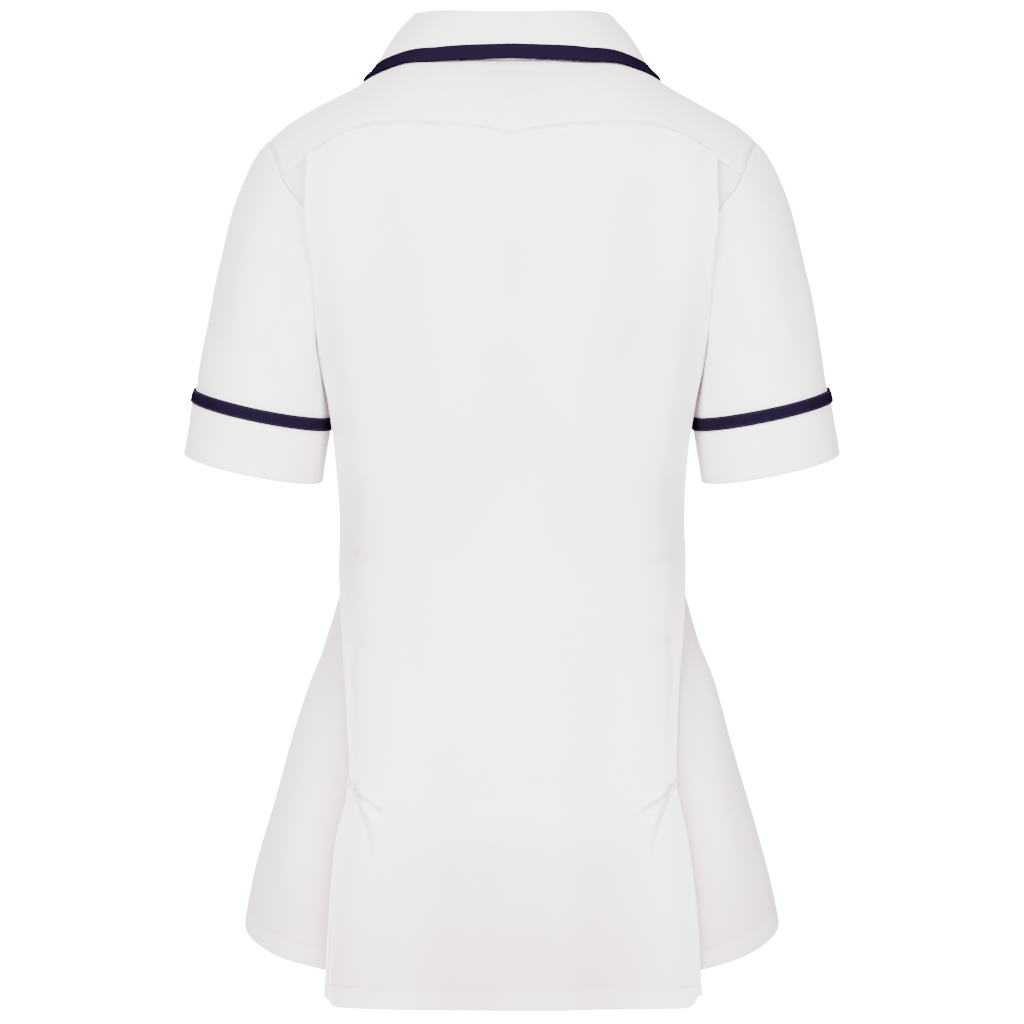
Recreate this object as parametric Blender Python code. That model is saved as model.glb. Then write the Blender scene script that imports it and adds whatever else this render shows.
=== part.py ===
"""Short-sleeved healthcare tunic with an open collar and navy trims, in its worn, hollow form.

Sizes below are in millimetres and become metres when an object is made. The wearer faces -Y,
+X is the wearer's left, +Z is up. The origin is midway between the two shoulders, on the level
where the collar's edge meets the shoulder line.
"""
import math

import bmesh
import bpy
from mathutils import Matrix, Vector

MM = 0.001

# Cloth walls and the gaps between them
WALL = 1.2
COLLAR_WALL = 1.6
TRIM_WALL = 1.0
SEAM_INSET = 0.25
LAYER_STEP = 1.6

# Torso sections: superellipse rings, a row for each height
RING_POWER = 2.35
TORSO_COLUMNS = ("z", "half_width", "back_depth", "front_depth")
TORSO = (
    (40, 212, 103, 80),
    (-50, 212, 104, 86),
    (-110, 212, 105, 98),
    (-150, 195, 104, 112),
    (-180, 172, 102, 122),
    (-211, 148, 100, 130),
    (-240, 138.5, 95, 133),
    (-273, 132.5, 88, 127),
    (-308, 129, 81, 115),
    (-343, 127.5, 78, 106),
    (-378, 129.5, 84, 108),
    (-434, 144, 102, 117),
    (-501, 164.8, 116, 126),
    (-566, 185, 122, 133),
    (-631, 203.4, 127, 139),
    (-665, 208, 128.5, 142),
    (-708, 209, 130, 144),
)

# Shoulder ridge, seen from behind, and how far the cloth rolls over it
RIDGE_COLUMNS = ("x", "z")
RIDGE = ((0, 19), (50, 19), (78, 17), (98, 8), (118, -5), (158, -26.5), (175, -36.5), (190, -49), (212, -75))
ROLL_BACK = 70
ROLL_FRONT = 75

# Armhole in side view, ridge first, then round by the back and the underarm to the front
ARMHOLE_COLUMNS = ("y", "z")
ARMHOLE = (
    (0, -48), (40, -60), (63, -81), (77, -102), (80.5, -124), (78, -150), (63, -180), (34, -203),
    (0, -211), (-36, -203), (-68, -183), (-84, -155), (-80, -127), (-73, -100), (-58, -77), (-36, -58),
)
UNDERARM_STEP = 8
ARMHOLE_SAMPLE = 0.5
YOKE_BACK_STEP = 2.0
YOKE_FRONT_STEP = 14.5

# Neck seam: a curve round the back, then straight down the open front
NECK_HALF_WIDTH = 78
NECK_BACK_ROLL = 0.387
NECK_SIDE_Z = 17
FRONT_OPENING_X = 6
FRONT_OPENING_TOP_Z = -112
YOKE_FRONT_AT_NECK = 0.1
NECK_AT_YOKE_CORNER = 0.62

# Yoke's back seam
YOKE_SEAM_COLUMNS = ("x", "z")
YOKE_SEAM = ((0, -52), (35, -46), (95, -43.5), (118, -46.5), (152, -66))

# Action pleat: where the fold lies, and how far the centre back stands off the side back
FOLD_COLUMNS = ("z", "x", "stand_off")
FOLD = (
    (-40, 150, 3.6),
    (-80, 151, 6),
    (-112, 151, 8),
    (-150, 146, 8.4),
    (-211, 140.5, 8.4),
    (-240, 134.5, 8.4),
    (-273, 129.5, 8),
    (-308, 126.8, 7),
    (-343, 125.7, 6.8),
    (-378, 126.2, 6.8),
    (-427, 124.5, 6),
    (-493, 120.5, 5.4),
    (-543, 119, 5.2),
    (-571, 126, 5.2),
    (-599, 130.2, 5.2),
    (-645, 133.7, 5.2),
    (-708, 136.8, 5.2),
)
FOLD_ROLL_RADIUS = 1.65
FOLD_RETURN = 12
PLEAT_OVERLAP = 20
LIFT_START = 44
LIFT_LENGTH = 26
SIDE_DIP = 2.2
SIDE_DIP_END_Z = -125
SIDE_SEAM_ROWS = 15
SEAM_FADE_ROWS = 5

# Hems
BACK_HEM_Z = -708
SIDE_HEM_Z = -649
SIDE_HEM_SLOPE = 40
FRONT_HEM_DROP = 22

# How finely the fronts are divided
FRONT_COLUMNS = 11
FRONT_OPENING_ROWS = 19

# How finely the centre back is divided
BACK_COLUMNS = 17
BACK_ROWS = 26

# Sleeve: rings across its own axis, at the trim and at the hem
SLEEVE_TILT_OUT = math.radians(9.5)
SLEEVE_TILT_FORWARD = math.radians(6)
SLEEVE_HEM_TILT = math.radians(12)
SLEEVE_HEM_CENTRE = Vector((202.2, -9, -302))
SLEEVE_HALF_WIDTH = 52.8
SLEEVE_HALF_DEPTH = 66
CUFF_HEIGHT = 42
CUFF_TRIM_HEIGHT = 9.5
SLEEVE_START_PULL = 0.62
SLEEVE_END_PULL = 0.95
UNDERARM_CLEARANCE = 2.4
SLEEVE_SEAM_GAP = 0.5

# Collar: a row for each station from the centre back to its front end
COLLAR_COLUMNS = ("neck", "roll_x", "roll_y", "roll_z", "edge_x", "edge_y", "edge_z")
COLLAR = (
    (0.00, 0, 57, 44.5, 0, 66.5, 10.5),
    (0.45, 49, 47, 46.5, 58, 62, 8.5),
    (0.75, 70, 24, 48.5, 89, 48, 3),
    (0.92, 76, 5, 47.5, 106, 22, -1),
    (1.03, 75.5, -14, 41.5, 110, -9, -5),
    (1.14, 69, -41, 24, 111, -44, -17),
    (1.32, 57, -73, -8, 107, -74, -44),
    (1.50, 42, -89.5, -42, 88, -88.5, -70),
)
COLLAR_FRONT_STATIONS = (1.02, 1.05, 1.09, 1.14, 1.2, 1.27, 1.35, 1.43, 1.5)
COLLAR_ROLL_HALF = 2.5
COLLAR_TRIM_WIDTH = 9.8
COLLAR_SEAM_LIFT = 2.1
COLLAR_CLEARANCE = 3.0
COLLAR_BELLY = 0.06
COLLAR_TRIM_GAP = 0.8
STEEP_SHARE = 0.8

# Revers: the lapel on each front, from the collar's end down to the zip
REVERS_TOP = 0.54
REVERS_CORNER_X = 82
REVERS_CORNER_Z = -81
REVERS_LIFT = 1.8

# Zip
TAPE_HALF_WIDTH = 14
TAPE_WALL = 0.8
TAPE_DEPTH = 1.8
TAPE_END_ABOVE_HEM = 8
SLIDER_Z = -121
SLIDER_SIZE = Vector((9.4, 3.4, 12))
SLIDER_SEAT = 0.9
BRIDGE_INNER_RADIUS = 1.4
BRIDGE_OUTER_RADIUS = 2.4
BRIDGE_WIDTH = 2.2
PIVOT_OUT = 2.3
PULL_BAR_RADIUS = 0.8
PULL_WIDTH = 6.4
PULL_LENGTH = 28
PULL_WALL = 1.2
PULL_WINDOW_WIDTH = 3.6
PULL_WINDOW_LENGTH = 6

FINISHES = {
    "white_cloth": ((0.86, 0.85, 0.865, 1.0), 0.85, 0.0),
    "navy_trim": ((0.022, 0.014, 0.055, 1.0), 0.7, 0.0),
    "zip_tape": ((0.84, 0.83, 0.85, 1.0), 0.8, 0.0),
    "zip_metal": ((0.72, 0.72, 0.73, 1.0), 0.32, 1.0),
}


def track(table, column):
    """A smooth function of a table's first column, through the values of another column."""
    rows = sorted(table)
    keys = [row[0] for row in rows]
    values = [row[column] for row in rows]
    slopes = []
    for i in range(len(rows)):
        low = max(i - 1, 0)
        high = min(i + 1, len(rows) - 1)
        slopes.append((values[high] - values[low]) / (keys[high] - keys[low]))

    def at(key):
        if key <= keys[0]:
            return values[0] + slopes[0] * (key - keys[0])
        if key >= keys[-1]:
            return values[-1] + slopes[-1] * (key - keys[-1])
        i = max(j for j in range(len(keys) - 1) if keys[j] <= key)
        span = keys[i + 1] - keys[i]
        t = (key - keys[i]) / span
        return (
            (2 * t**3 - 3 * t**2 + 1) * values[i]
            + (t**3 - 2 * t**2 + t) * span * slopes[i]
            + (3 * t**2 - 2 * t**3) * values[i + 1]
            + (t**3 - t**2) * span * slopes[i + 1]
        )

    return at


def loop_track(rows, step):
    """The point at a step, which may lie between rows, of a smooth closed table of pairs."""
    count = len(rows)
    base = math.floor(step)
    t = step - base
    before, start, end, after = [Vector(rows[(base + k) % count]) for k in (-1, 0, 1, 2)]
    return (
        start * (2 * t**3 - 3 * t**2 + 1)
        + (end - before) * 0.5 * (t**3 - 2 * t**2 + t)
        + end * (3 * t**2 - 2 * t**3)
        + (after - start) * 0.5 * (t**3 - t**2)
    )


def blend(a, b, t):
    """Straight mix of two numbers or vectors."""
    return a + (b - a) * t


def smooth(t):
    """A soft step from 0 to 1."""
    t = min(max(t, 0.0), 1.0)
    return t * t * (3 - 2 * t)


half_width = track(TORSO, 1)
back_depth = track(TORSO, 2)
front_depth = track(TORSO, 3)
ridge_z = track(RIDGE, 1)
fold_x = track(FOLD, 1)
fold_stand_off = track(FOLD, 2)


def depth_at(x, z, back):
    """Depth of the torso ring at one side of the body's middle plane, before the shoulder roll."""
    share = min(abs(x) / half_width(z), 1.0)
    reach = back_depth(z) if back else front_depth(z)
    return reach * (1 - share**RING_POWER) ** (1 / RING_POWER)


def roll_share(drop, back):
    """How much of the full depth the cloth has reached at a drop below the shoulder ridge."""
    roll = ROLL_BACK if back else ROLL_FRONT
    if drop <= 0:
        return 0.0
    if drop >= roll:
        return 1.0
    return math.sqrt(1 - (1 - drop / roll) ** 2)


def surface_y(x, z, back):
    """Y of the torso's surface at x and z."""
    depth = depth_at(x, z, back) * roll_share(ridge_z(abs(x)) - z, back)
    return depth if back else -depth


def ring_angle(x, z):
    """Angle from the side seam at which the ring at height z has the half width x."""
    share = min(abs(x) / half_width(z), 1.0)
    return math.acos(share ** (RING_POWER / 2))


def torso_point(angle, z, back):
    """Point of the torso's surface at an angle from the side seam (0) to the centre (90 degrees)."""
    x = half_width(z) * max(math.cos(angle), 0.0) ** (2 / RING_POWER)
    depth = (back_depth(z) if back else front_depth(z)) * max(math.sin(angle), 0.0) ** (2 / RING_POWER)
    depth *= roll_share(ridge_z(x) - z, back)
    return Vector((x, depth if back else -depth, z))


def hood_point(x, turn):
    """Point over the shoulder: turn is 0 on the ridge, 1 where the back hangs, -1 at the front."""
    back = turn >= 0
    roll = ROLL_BACK if back else ROLL_FRONT
    angle = min(abs(turn), 1.0) * math.pi / 2
    drop = roll * (1 - math.cos(angle)) + max(abs(turn) - 1, 0) * roll
    z = ridge_z(abs(x)) - drop
    depth = depth_at(x, z, back) * math.sin(angle)
    return Vector((x, depth if back else -depth, z))


def hood_turn(x, z, back):
    """The turn over the shoulder at which the surface at x has the height z."""
    roll = ROLL_BACK if back else ROLL_FRONT
    drop = max(ridge_z(abs(x)) - z, 0)
    if drop < roll:
        turn = math.acos(1 - drop / roll) / (math.pi / 2)
    else:
        turn = 1 + (drop - roll) / roll
    return turn if back else -turn


def armhole_point(step):
    """Point of the left armhole seam, with x found where the torso's surface has that y."""
    y, z = loop_track(ARMHOLE, step)
    back = y >= 0
    low, high = NECK_HALF_WIDTH, half_width(z)
    for _ in range(40):
        middle = (low + high) / 2
        if abs(surface_y(middle, z, back)) > max(abs(y), 0.001):
            low = middle
        else:
            high = middle
    return Vector((low, y, z))


YOKE_CORNER = armhole_point(YOKE_BACK_STEP)
yoke_seam_z = track(YOKE_SEAM + ((YOKE_CORNER.x, YOKE_CORNER.z),), 1)
FOLD_TOP_X = fold_x(yoke_seam_z(150))


def armhole_steps(start, end):
    """Steps along the armhole, the same on every piece that ends there, both ends included."""
    count = round(abs(end - start) / ARMHOLE_SAMPLE)
    return [start + (end - start) * i / count for i in range(count + 1)]


def neck_front_point(share):
    """Point of the open front's edge: share 0 at the side of the neck, 1 at the top of the zip."""
    x = blend(NECK_HALF_WIDTH, FRONT_OPENING_X, share)
    z = blend(NECK_SIDE_Z, FRONT_OPENING_TOP_Z, share)
    return Vector((x, surface_y(x, z, False), z))


def neck_turn(along):
    """Neck seam as x and turn: along 0 at the centre back, 1 at the side, then down the front."""
    if along <= 1:
        angle = along * math.pi / 2
        return NECK_HALF_WIDTH * math.sin(angle), NECK_BACK_ROLL * math.cos(angle)
    point = neck_front_point(along - 1)
    return point.x, hood_turn(point.x, point.z, False)


def neck_point(along):
    """Point of the neck seam."""
    if along <= 1:
        return hood_point(*neck_turn(along))
    return neck_front_point(along - 1)


def grid_normals(grid, closed=False):
    """Unit normals of a grid of points, from each point's neighbours."""
    rows = len(grid)
    columns = len(grid[0])
    normals = []
    for i in range(rows):
        line = []
        for j in range(columns):
            left = (j - 1) % columns if closed else max(j - 1, 0)
            right = (j + 1) % columns if closed else min(j + 1, columns - 1)
            across = grid[i][right] - grid[i][left]
            down = grid[min(i + 1, rows - 1)][j] - grid[max(i - 1, 0)][j]
            line.append(across.cross(down).normalized())
        normals.append(line)
    return normals


def facing_out(grid, closed, inside):
    """Normals turned away from a point that is inside the garment or tube."""
    normals = grid_normals(grid, closed)
    middle_row = len(grid) // 2
    middle_column = len(grid[0]) // 2
    sample = grid[middle_row][middle_column]
    sign = 1 if normals[middle_row][middle_column].dot(sample - inside) > 0 else -1
    return [[normal * sign for normal in line] for line in normals]


def pull_in(grid, distance, closed=False):
    """Draw the open edges of a grid in by a distance, which leaves the gap of a seam."""
    rows = [list(line) for line in grid]
    last = len(rows) - 1
    for edge, inner in ((0, 1), (last, last - 1)):
        rows[edge] = [p + (q - p).normalized() * distance for p, q in zip(rows[edge], rows[inner])]
    if not closed:
        for line in rows:
            line[0] = line[0] + (line[1] - line[0]).normalized() * distance
            line[-1] = line[-1] + (line[-2] - line[-1]).normalized() * distance
    return rows


def mirrored(grid):
    """The same grid on the wearer's right."""
    return [[Vector((-p.x, p.y, p.z)) for p in line] for line in grid]


def finish_material(name):
    """The material of a finish, made once."""
    if name in bpy.data.materials:
        return bpy.data.materials[name]
    colour, roughness, metallic = FINISHES[name]
    material = bpy.data.materials.new(name)
    material.use_nodes = True
    shader = material.node_tree.nodes["Principled BSDF"]
    shader.inputs["Base Color"].default_value = colour
    shader.inputs["Roughness"].default_value = roughness
    shader.inputs["Metallic"].default_value = metallic
    return material


def add_object(name, mesh_bm, finish):
    """Turn a bmesh in millimetres into a named object in metres."""
    bmesh.ops.scale(mesh_bm, vec=(MM, MM, MM), verts=mesh_bm.verts)
    bmesh.ops.recalc_face_normals(mesh_bm, faces=mesh_bm.faces)
    mesh = bpy.data.meshes.new(name)
    mesh_bm.to_mesh(mesh)
    mesh_bm.free()
    mesh.shade_smooth()
    mesh.set_sharp_from_angle(angle=math.radians(40))
    item = bpy.data.objects.new(name, mesh)
    bpy.context.scene.collection.objects.link(item)
    mesh.materials.append(finish_material(finish))
    return item


def add_wall(name, grid, thickness, finish, closed=False, inside=Vector((0, 0, -300)), normals=None):
    """A cloth wall: the grid moved out and in by half the thickness, joined round its open edges."""
    if normals is None:
        normals = facing_out(grid, closed, inside)
    rows = len(grid)
    columns = len(grid[0])
    mesh_bm = bmesh.new()
    skins = []
    for side in (0.5, -0.5):
        skins.append([
            [mesh_bm.verts.new(grid[i][j] + normals[i][j] * (side * thickness)) for j in range(columns)]
            for i in range(rows)
        ])
    steps = columns if closed else columns - 1
    for i in range(rows - 1):
        for j in range(steps):
            k = (j + 1) % columns
            for skin in skins:
                mesh_bm.faces.new((skin[i][j], skin[i][k], skin[i + 1][k], skin[i + 1][j]))
    outer, inner = skins
    for j in range(steps):
        k = (j + 1) % columns
        for i in (0, rows - 1):
            mesh_bm.faces.new((outer[i][j], outer[i][k], inner[i][k], inner[i][j]))
    if not closed:
        for i in range(rows - 1):
            for j in (0, columns - 1):
                mesh_bm.faces.new((outer[i][j], outer[i + 1][j], inner[i + 1][j], inner[i][j]))
    return add_object(name, mesh_bm, finish)


def spread(start, end, count):
    """Evenly spaced numbers, both ends included."""
    return [blend(start, end, i / (count - 1)) for i in range(count)]


def side_hem_z(angle, back):
    """Height of the hem at an angle from the side seam."""
    if back:
        return SIDE_HEM_Z - SIDE_HEM_SLOPE * max(math.sin(angle), 0.0) ** (2 / RING_POWER)
    return SIDE_HEM_Z - FRONT_HEM_DROP * math.sin(angle) ** 2


def make_yoke():
    """The yoke: rungs from the neck seam out to the front seam, the armholes and the back seam."""
    armhole_rungs = armhole_steps(YOKE_FRONT_STEP, len(ARMHOLE) + YOKE_BACK_STEP)
    neck_shares = spread(1 + YOKE_FRONT_AT_NECK, NECK_AT_YOKE_CORNER, len(armhole_rungs))
    outer = []
    inner = []
    for step, along in zip(armhole_rungs, neck_shares):
        point = armhole_point(step)
        outer.append((point.x, hood_turn(point.x, point.z, point.y >= 0)))
        inner.append(neck_turn(along))
    seam_x = [blend(YOKE_CORNER.x, FOLD_TOP_X, 0.5)] + spread(FOLD_TOP_X, 0, (BACK_COLUMNS + 1) // 2)
    for x in seam_x:
        outer.append((x, hood_turn(x, yoke_seam_z(x), True)))
        inner.append(neck_turn(NECK_AT_YOKE_CORNER * x / YOKE_CORNER.x))
    left = []
    for (x_in, turn_in), (x_out, turn_out) in zip(inner, outer):
        left.append([
            hood_point(blend(x_in, x_out, c), blend(turn_in, turn_out, c)) for c in spread(0, 1, 8)
        ])
    grid = left + mirrored(left[:-1])[::-1]
    add_wall("yoke", pull_in(grid, SEAM_INSET), WALL, "white_cloth")


def back_lift(x, z):
    """How far the centre back stands off the torso's surface."""
    return fold_stand_off(z) * smooth((abs(x) - (fold_x(z) - LIFT_START)) / LIFT_LENGTH)


def lifted_back_point(x, z, lift):
    """A point of the back moved out along the surface's normal."""
    step = 2.0
    point = Vector((x, surface_y(x, z, True), z))
    reach = half_width(z) - 0.5
    x_high = min(abs(x) + step, reach)
    x_low = x_high - 2 * step
    across = Vector((x_high - x_low, surface_y(x_high, z, True) - surface_y(x_low, z, True), 0))
    down = Vector((0, surface_y(x, z - step, True) - surface_y(x, z + step, True), -2 * step))
    normal = across.cross(down).normalized()
    if x < 0:
        normal.x = -normal.x
    return point + normal * lift


def make_back_centre():
    """The centre back with a rolled fold and a short return under each side."""
    shares = spread(-1, 1, BACK_COLUMNS)
    levels = spread(0, 1, BACK_ROWS)
    grid = []
    for level in levels:
        middle = []
        for share in shares:
            z = blend(yoke_seam_z(abs(share) * FOLD_TOP_X), BACK_HEM_Z, level)
            x = share * fold_x(z)
            middle.append(lifted_back_point(x, z, back_lift(x, z)))
        z_fold = blend(yoke_seam_z(FOLD_TOP_X), BACK_HEM_Z, level)
        ends = []
        for side in (-1, 1):
            edge = middle[0] if side < 0 else middle[-1]
            beside = middle[1] if side < 0 else middle[-2]
            x = fold_x(z_fold)
            lift = fold_stand_off(z_fold)
            below = lifted_back_point(side * x, z_fold, lift - 2 * FOLD_ROLL_RADIUS)
            centre = (edge + below) / 2
            normal = (edge - below) / 2
            tangent = (edge - beside).normalized()
            tangent = (tangent - normal * tangent.dot(normal) / normal.length_squared).normalized()
            turned = [
                centre + normal * math.cos(a) + tangent * normal.length * math.sin(a)
                for a in (math.radians(60), math.radians(120))
            ]
            returned = [
                lifted_back_point(side * (x - length), z_fold, lift - 2 * FOLD_ROLL_RADIUS)
                for length in (0.5, FOLD_RETURN / 2, FOLD_RETURN)
            ]
            ends.append(turned + returned)
        grid.append(ends[0][::-1] + middle + ends[1])
    grid = pull_in(grid, SEAM_INSET)
    add_wall("back_centre", grid, WALL, "white_cloth", inside=Vector((0, 0, -400)))


def side_seam_rows(count):
    """Heights of the side seam from the underarm to the hem, upper end left out."""
    return spread(ARMHOLE[UNDERARM_STEP][1], SIDE_HEM_Z, count + 1)[1:]


def make_side_back():
    """The side backs: from under the pleat out to the armhole and the side seam."""
    corner = armhole_point(YOKE_BACK_STEP)
    outer = []
    for step in armhole_steps(YOKE_BACK_STEP, UNDERARM_STEP):
        point = armhole_point(step)
        outer.append((ring_angle(point.x, point.z) if step < UNDERARM_STEP else 0.0, point.z))
    outer += [(0.0, z) for z in side_seam_rows(SIDE_SEAM_ROWS)]
    top_x = fold_x(corner.z) - PLEAT_OVERLAP
    top_z = yoke_seam_z(top_x)
    first_angles = (ring_angle(top_x, top_z), ring_angle(corner.x, corner.z))
    grid = []
    for row, (outer_angle, outer_z) in enumerate(outer):
        share = row / (len(outer) - 1)
        inner_z = blend(top_z, side_hem_z(ring_angle(fold_x(BACK_HEM_Z), BACK_HEM_Z), True), share)
        inner_angle = ring_angle(fold_x(inner_z) - PLEAT_OVERLAP, inner_z)
        line = []
        for c in spread(0, 1, 9):
            angle = blend(inner_angle, outer_angle, c)
            z = blend(inner_z, outer_z, c)
            if row < SEAM_FADE_ROWS:
                fade = 1 - row / SEAM_FADE_ROWS
                seam_x = blend(top_x, corner.x, c)
                seam_z = yoke_seam_z(seam_x)
                angle += (ring_angle(seam_x, seam_z) - blend(*first_angles, c)) * fade
                z += (seam_z - blend(top_z, corner.z, c)) * fade
            if row == len(outer) - 1:
                z = side_hem_z(angle, True)
            dip = SIDE_DIP * smooth((z - SIDE_DIP_END_Z) / (top_z - SIDE_DIP_END_Z)) * (1 - c)
            point = torso_point(angle, z, True)
            if dip > 0:
                point = lifted_back_point(point.x, z, -dip)
            line.append(point)
        grid.append(line)
    grid = pull_in(grid, SEAM_INSET)
    for name, side_grid in (("side_back_left", grid), ("side_back_right", mirrored(grid))):
        add_wall(name, side_grid, WALL, "white_cloth", inside=Vector((0, 0, -400)))


def opening_levels():
    """Heights down the centre front, from the top of the zip to the hem."""
    return spread(FRONT_OPENING_TOP_Z, side_hem_z(math.pi / 2, False), FRONT_OPENING_ROWS)


def front_yoke_seam():
    """The seam between yoke and front, as ring angles and heights from the neck out."""
    neck_x, neck_roll = neck_turn(1 + YOKE_FRONT_AT_NECK)
    corner = armhole_point(YOKE_FRONT_STEP)
    corner_roll = hood_turn(corner.x, corner.z, False)
    seam = []
    for c in spread(0, 1, FRONT_COLUMNS):
        point = hood_point(blend(neck_x, corner.x, c), blend(neck_roll, corner_roll, c))
        seam.append((ring_angle(point.x, point.z), point.z))
    return seam


def front_grid():
    """The left front: from the open neck and the zip out to the armhole and the side seam."""
    outer = []
    for step in armhole_steps(YOKE_FRONT_STEP, UNDERARM_STEP):
        point = armhole_point(step)
        outer.append((ring_angle(point.x, point.z) if step > UNDERARM_STEP else 0.0, point.z))
    outer += [(0.0, z) for z in side_seam_rows(SIDE_SEAM_ROWS)]
    neck_rows = len(outer) - FRONT_OPENING_ROWS + 1
    neck_shares = spread(YOKE_FRONT_AT_NECK, 1, neck_rows)
    inner = [(p.x, p.z) for p in (neck_front_point(share) for share in neck_shares)]
    inner += [(FRONT_OPENING_X, z) for z in opening_levels()[1:]]
    seam = front_yoke_seam()
    grid = []
    for row, ((inner_x, inner_z), (outer_angle, outer_z)) in enumerate(zip(inner, outer)):
        inner_angle = ring_angle(inner_x, inner_z)
        if row == 0:
            first = (inner_angle, inner_z, outer_angle, outer_z)
        fade = max(1 - row / SEAM_FADE_ROWS, 0)
        line = []
        for c, (seam_angle, seam_z) in zip(spread(0, 1, FRONT_COLUMNS), seam):
            angle = blend(inner_angle, outer_angle, c)
            z = blend(inner_z, outer_z, c)
            angle += (seam_angle - blend(first[0], first[2], c)) * fade
            z += (seam_z - blend(first[1], first[3], c)) * fade
            if row == len(outer) - 1:
                z = side_hem_z(angle, False)
            line.append(torso_point(angle, z, False))
        grid.append(line)
    return grid


def make_fronts():
    """Both fronts."""
    grid = pull_in(front_grid(), SEAM_INSET)
    for name, side_grid in (("front_left", grid), ("front_right", mirrored(grid))):
        add_wall(name, side_grid, WALL, "white_cloth", inside=Vector((0, 0, -350)))


def sleeve_frame():
    """Directions of the sleeve: down its axis, outward across it, and backward across it."""
    down = Vector((
        math.sin(SLEEVE_TILT_OUT) * math.cos(SLEEVE_TILT_FORWARD),
        -math.sin(SLEEVE_TILT_FORWARD),
        -math.cos(SLEEVE_TILT_OUT) * math.cos(SLEEVE_TILT_FORWARD),
    ))
    outward = Vector((math.cos(SLEEVE_HEM_TILT), 0, math.sin(SLEEVE_HEM_TILT)))
    backward = outward.cross(down).normalized()
    if backward.y < 0:
        backward = -backward
    return down, outward, backward


def sleeve_ring_point(angle, above_hem, extra=0.0):
    """Point of the straight end of the sleeve, angle 0 outside, 90 degrees at the back."""
    down, outward, backward = sleeve_frame()
    centre = SLEEVE_HEM_CENTRE - down * above_hem
    across = outward * math.cos(angle) * (SLEEVE_HALF_WIDTH + extra)
    return centre + across + backward * math.sin(angle) * (SLEEVE_HALF_DEPTH + extra)


def sleeve_grid(columns=32):
    """The left sleeve: curves from the armhole to the cuff, then straight to the hem."""
    down, _, _ = sleeve_frame()
    straight_top = CUFF_HEIGHT + CUFF_TRIM_HEIGHT
    levels = spread(0, 1, 12)
    grid = [[] for _ in range(len(levels) + 3)]
    for j in range(columns):
        turn = j / columns
        step = turn * len(ARMHOLE)
        start = armhole_point(step)
        along = (armhole_point(step + 0.05) - armhole_point(step - 0.05)).normalized()
        nearby = hood_point(start.x - 3, hood_turn(start.x, start.z, start.y >= 0))
        inward = (nearby - start).normalized()
        outward_in_surface = -(inward - along * inward.dot(along)).normalized()
        hang = smooth((0.5 - abs(turn - 0.5)) / 0.5 * 1.9 - 0.62)
        away = blend(outward_in_surface, down, hang).normalized()
        side_out = Vector((1, 0.55 * math.copysign(1, start.y) * (1 if abs(start.y) > 5 else 0), 0))
        start = start + outward_in_surface * (SLEEVE_SEAM_GAP * (1 - hang))
        start = start + side_out.normalized() * (UNDERARM_CLEARANCE * smooth(hang * 1.6))
        angle = turn * 2 * math.pi
        end = sleeve_ring_point(angle, straight_top)
        reach = (end - start).length
        start_pull = away * (reach * SLEEVE_START_PULL)
        end_pull = down * (reach * SLEEVE_END_PULL)
        for i, t in enumerate(levels):
            grid[i].append(
                start * (2 * t**3 - 3 * t**2 + 1)
                + start_pull * (t**3 - 2 * t**2 + t)
                + end * (3 * t**2 - 2 * t**3)
                + end_pull * (t**3 - t**2)
            )
        for k, share in enumerate((0.33, 0.66, 1.0)):
            grid[len(levels) + k].append(sleeve_ring_point(angle, straight_top * (1 - share)))
    return grid


def make_sleeves():
    """Sleeves, turned-up cuffs and the braid on each cuff."""
    columns = 32
    angles = [2 * math.pi * j / columns for j in range(columns)]
    cuff = [[sleeve_ring_point(a, h, LAYER_STEP) for a in angles]
            for h in spread(CUFF_HEIGHT + CUFF_TRIM_HEIGHT * 0.5, 0, 4)]
    trim = [[sleeve_ring_point(a, h, 2 * LAYER_STEP) for a in angles]
            for h in spread(CUFF_HEIGHT + CUFF_TRIM_HEIGHT, CUFF_HEIGHT, 3)]
    pieces = (
        ("sleeve", sleeve_grid(columns), WALL, "white_cloth"),
        ("cuff", cuff, WALL, "white_cloth"),
        ("cuff_trim", trim, TRIM_WALL, "navy_trim"),
    )
    for name, grid, wall, finish in pieces:
        centre = Vector((198, -5, -200 if name == "sleeve" else -290))
        normals = facing_out(grid, True, centre)
        add_wall(name + "_left", grid, wall, finish, True, normals=normals)
        flipped = [[Vector((-n.x, n.y, n.z)) for n in line] for line in normals]
        add_wall(name + "_right", mirrored(grid), wall, finish, True, normals=flipped)


def collar_station(along):
    """Neck point, roll point and edge point of the collar, left half."""
    values = [track(COLLAR, column)(along) for column in range(1, len(COLLAR_COLUMNS))]
    neck = neck_point(along)
    outward = Vector((neck.x * 0.4, neck.y, 0)).normalized()
    lifted = neck + (Vector((0, 0, 1)) * 0.8 + outward * 0.6).normalized() * COLLAR_SEAM_LIFT
    return lifted, Vector(values[:3]), Vector(values[3:])


def clear_of_torso(point):
    """The point, moved off the yoke and fronts where the collar would come too near them."""
    back = point.y >= 0
    roll = ROLL_BACK if back else ROLL_FRONT
    share = abs(point.y) / depth_at(point.x, point.z, back)
    moved = point.copy()
    if share < STEEP_SHARE:
        level = math.sqrt(1 - share**2)
        surface_z = ridge_z(abs(point.x)) - roll * (1 - level)
        moved.z = max(point.z, surface_z + COLLAR_CLEARANCE / level)
    else:
        reach = abs(surface_y(point.x, point.z, back)) + COLLAR_CLEARANCE / STEEP_SHARE
        moved.y = math.copysign(max(abs(point.y), reach), point.y)
    return moved


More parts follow.
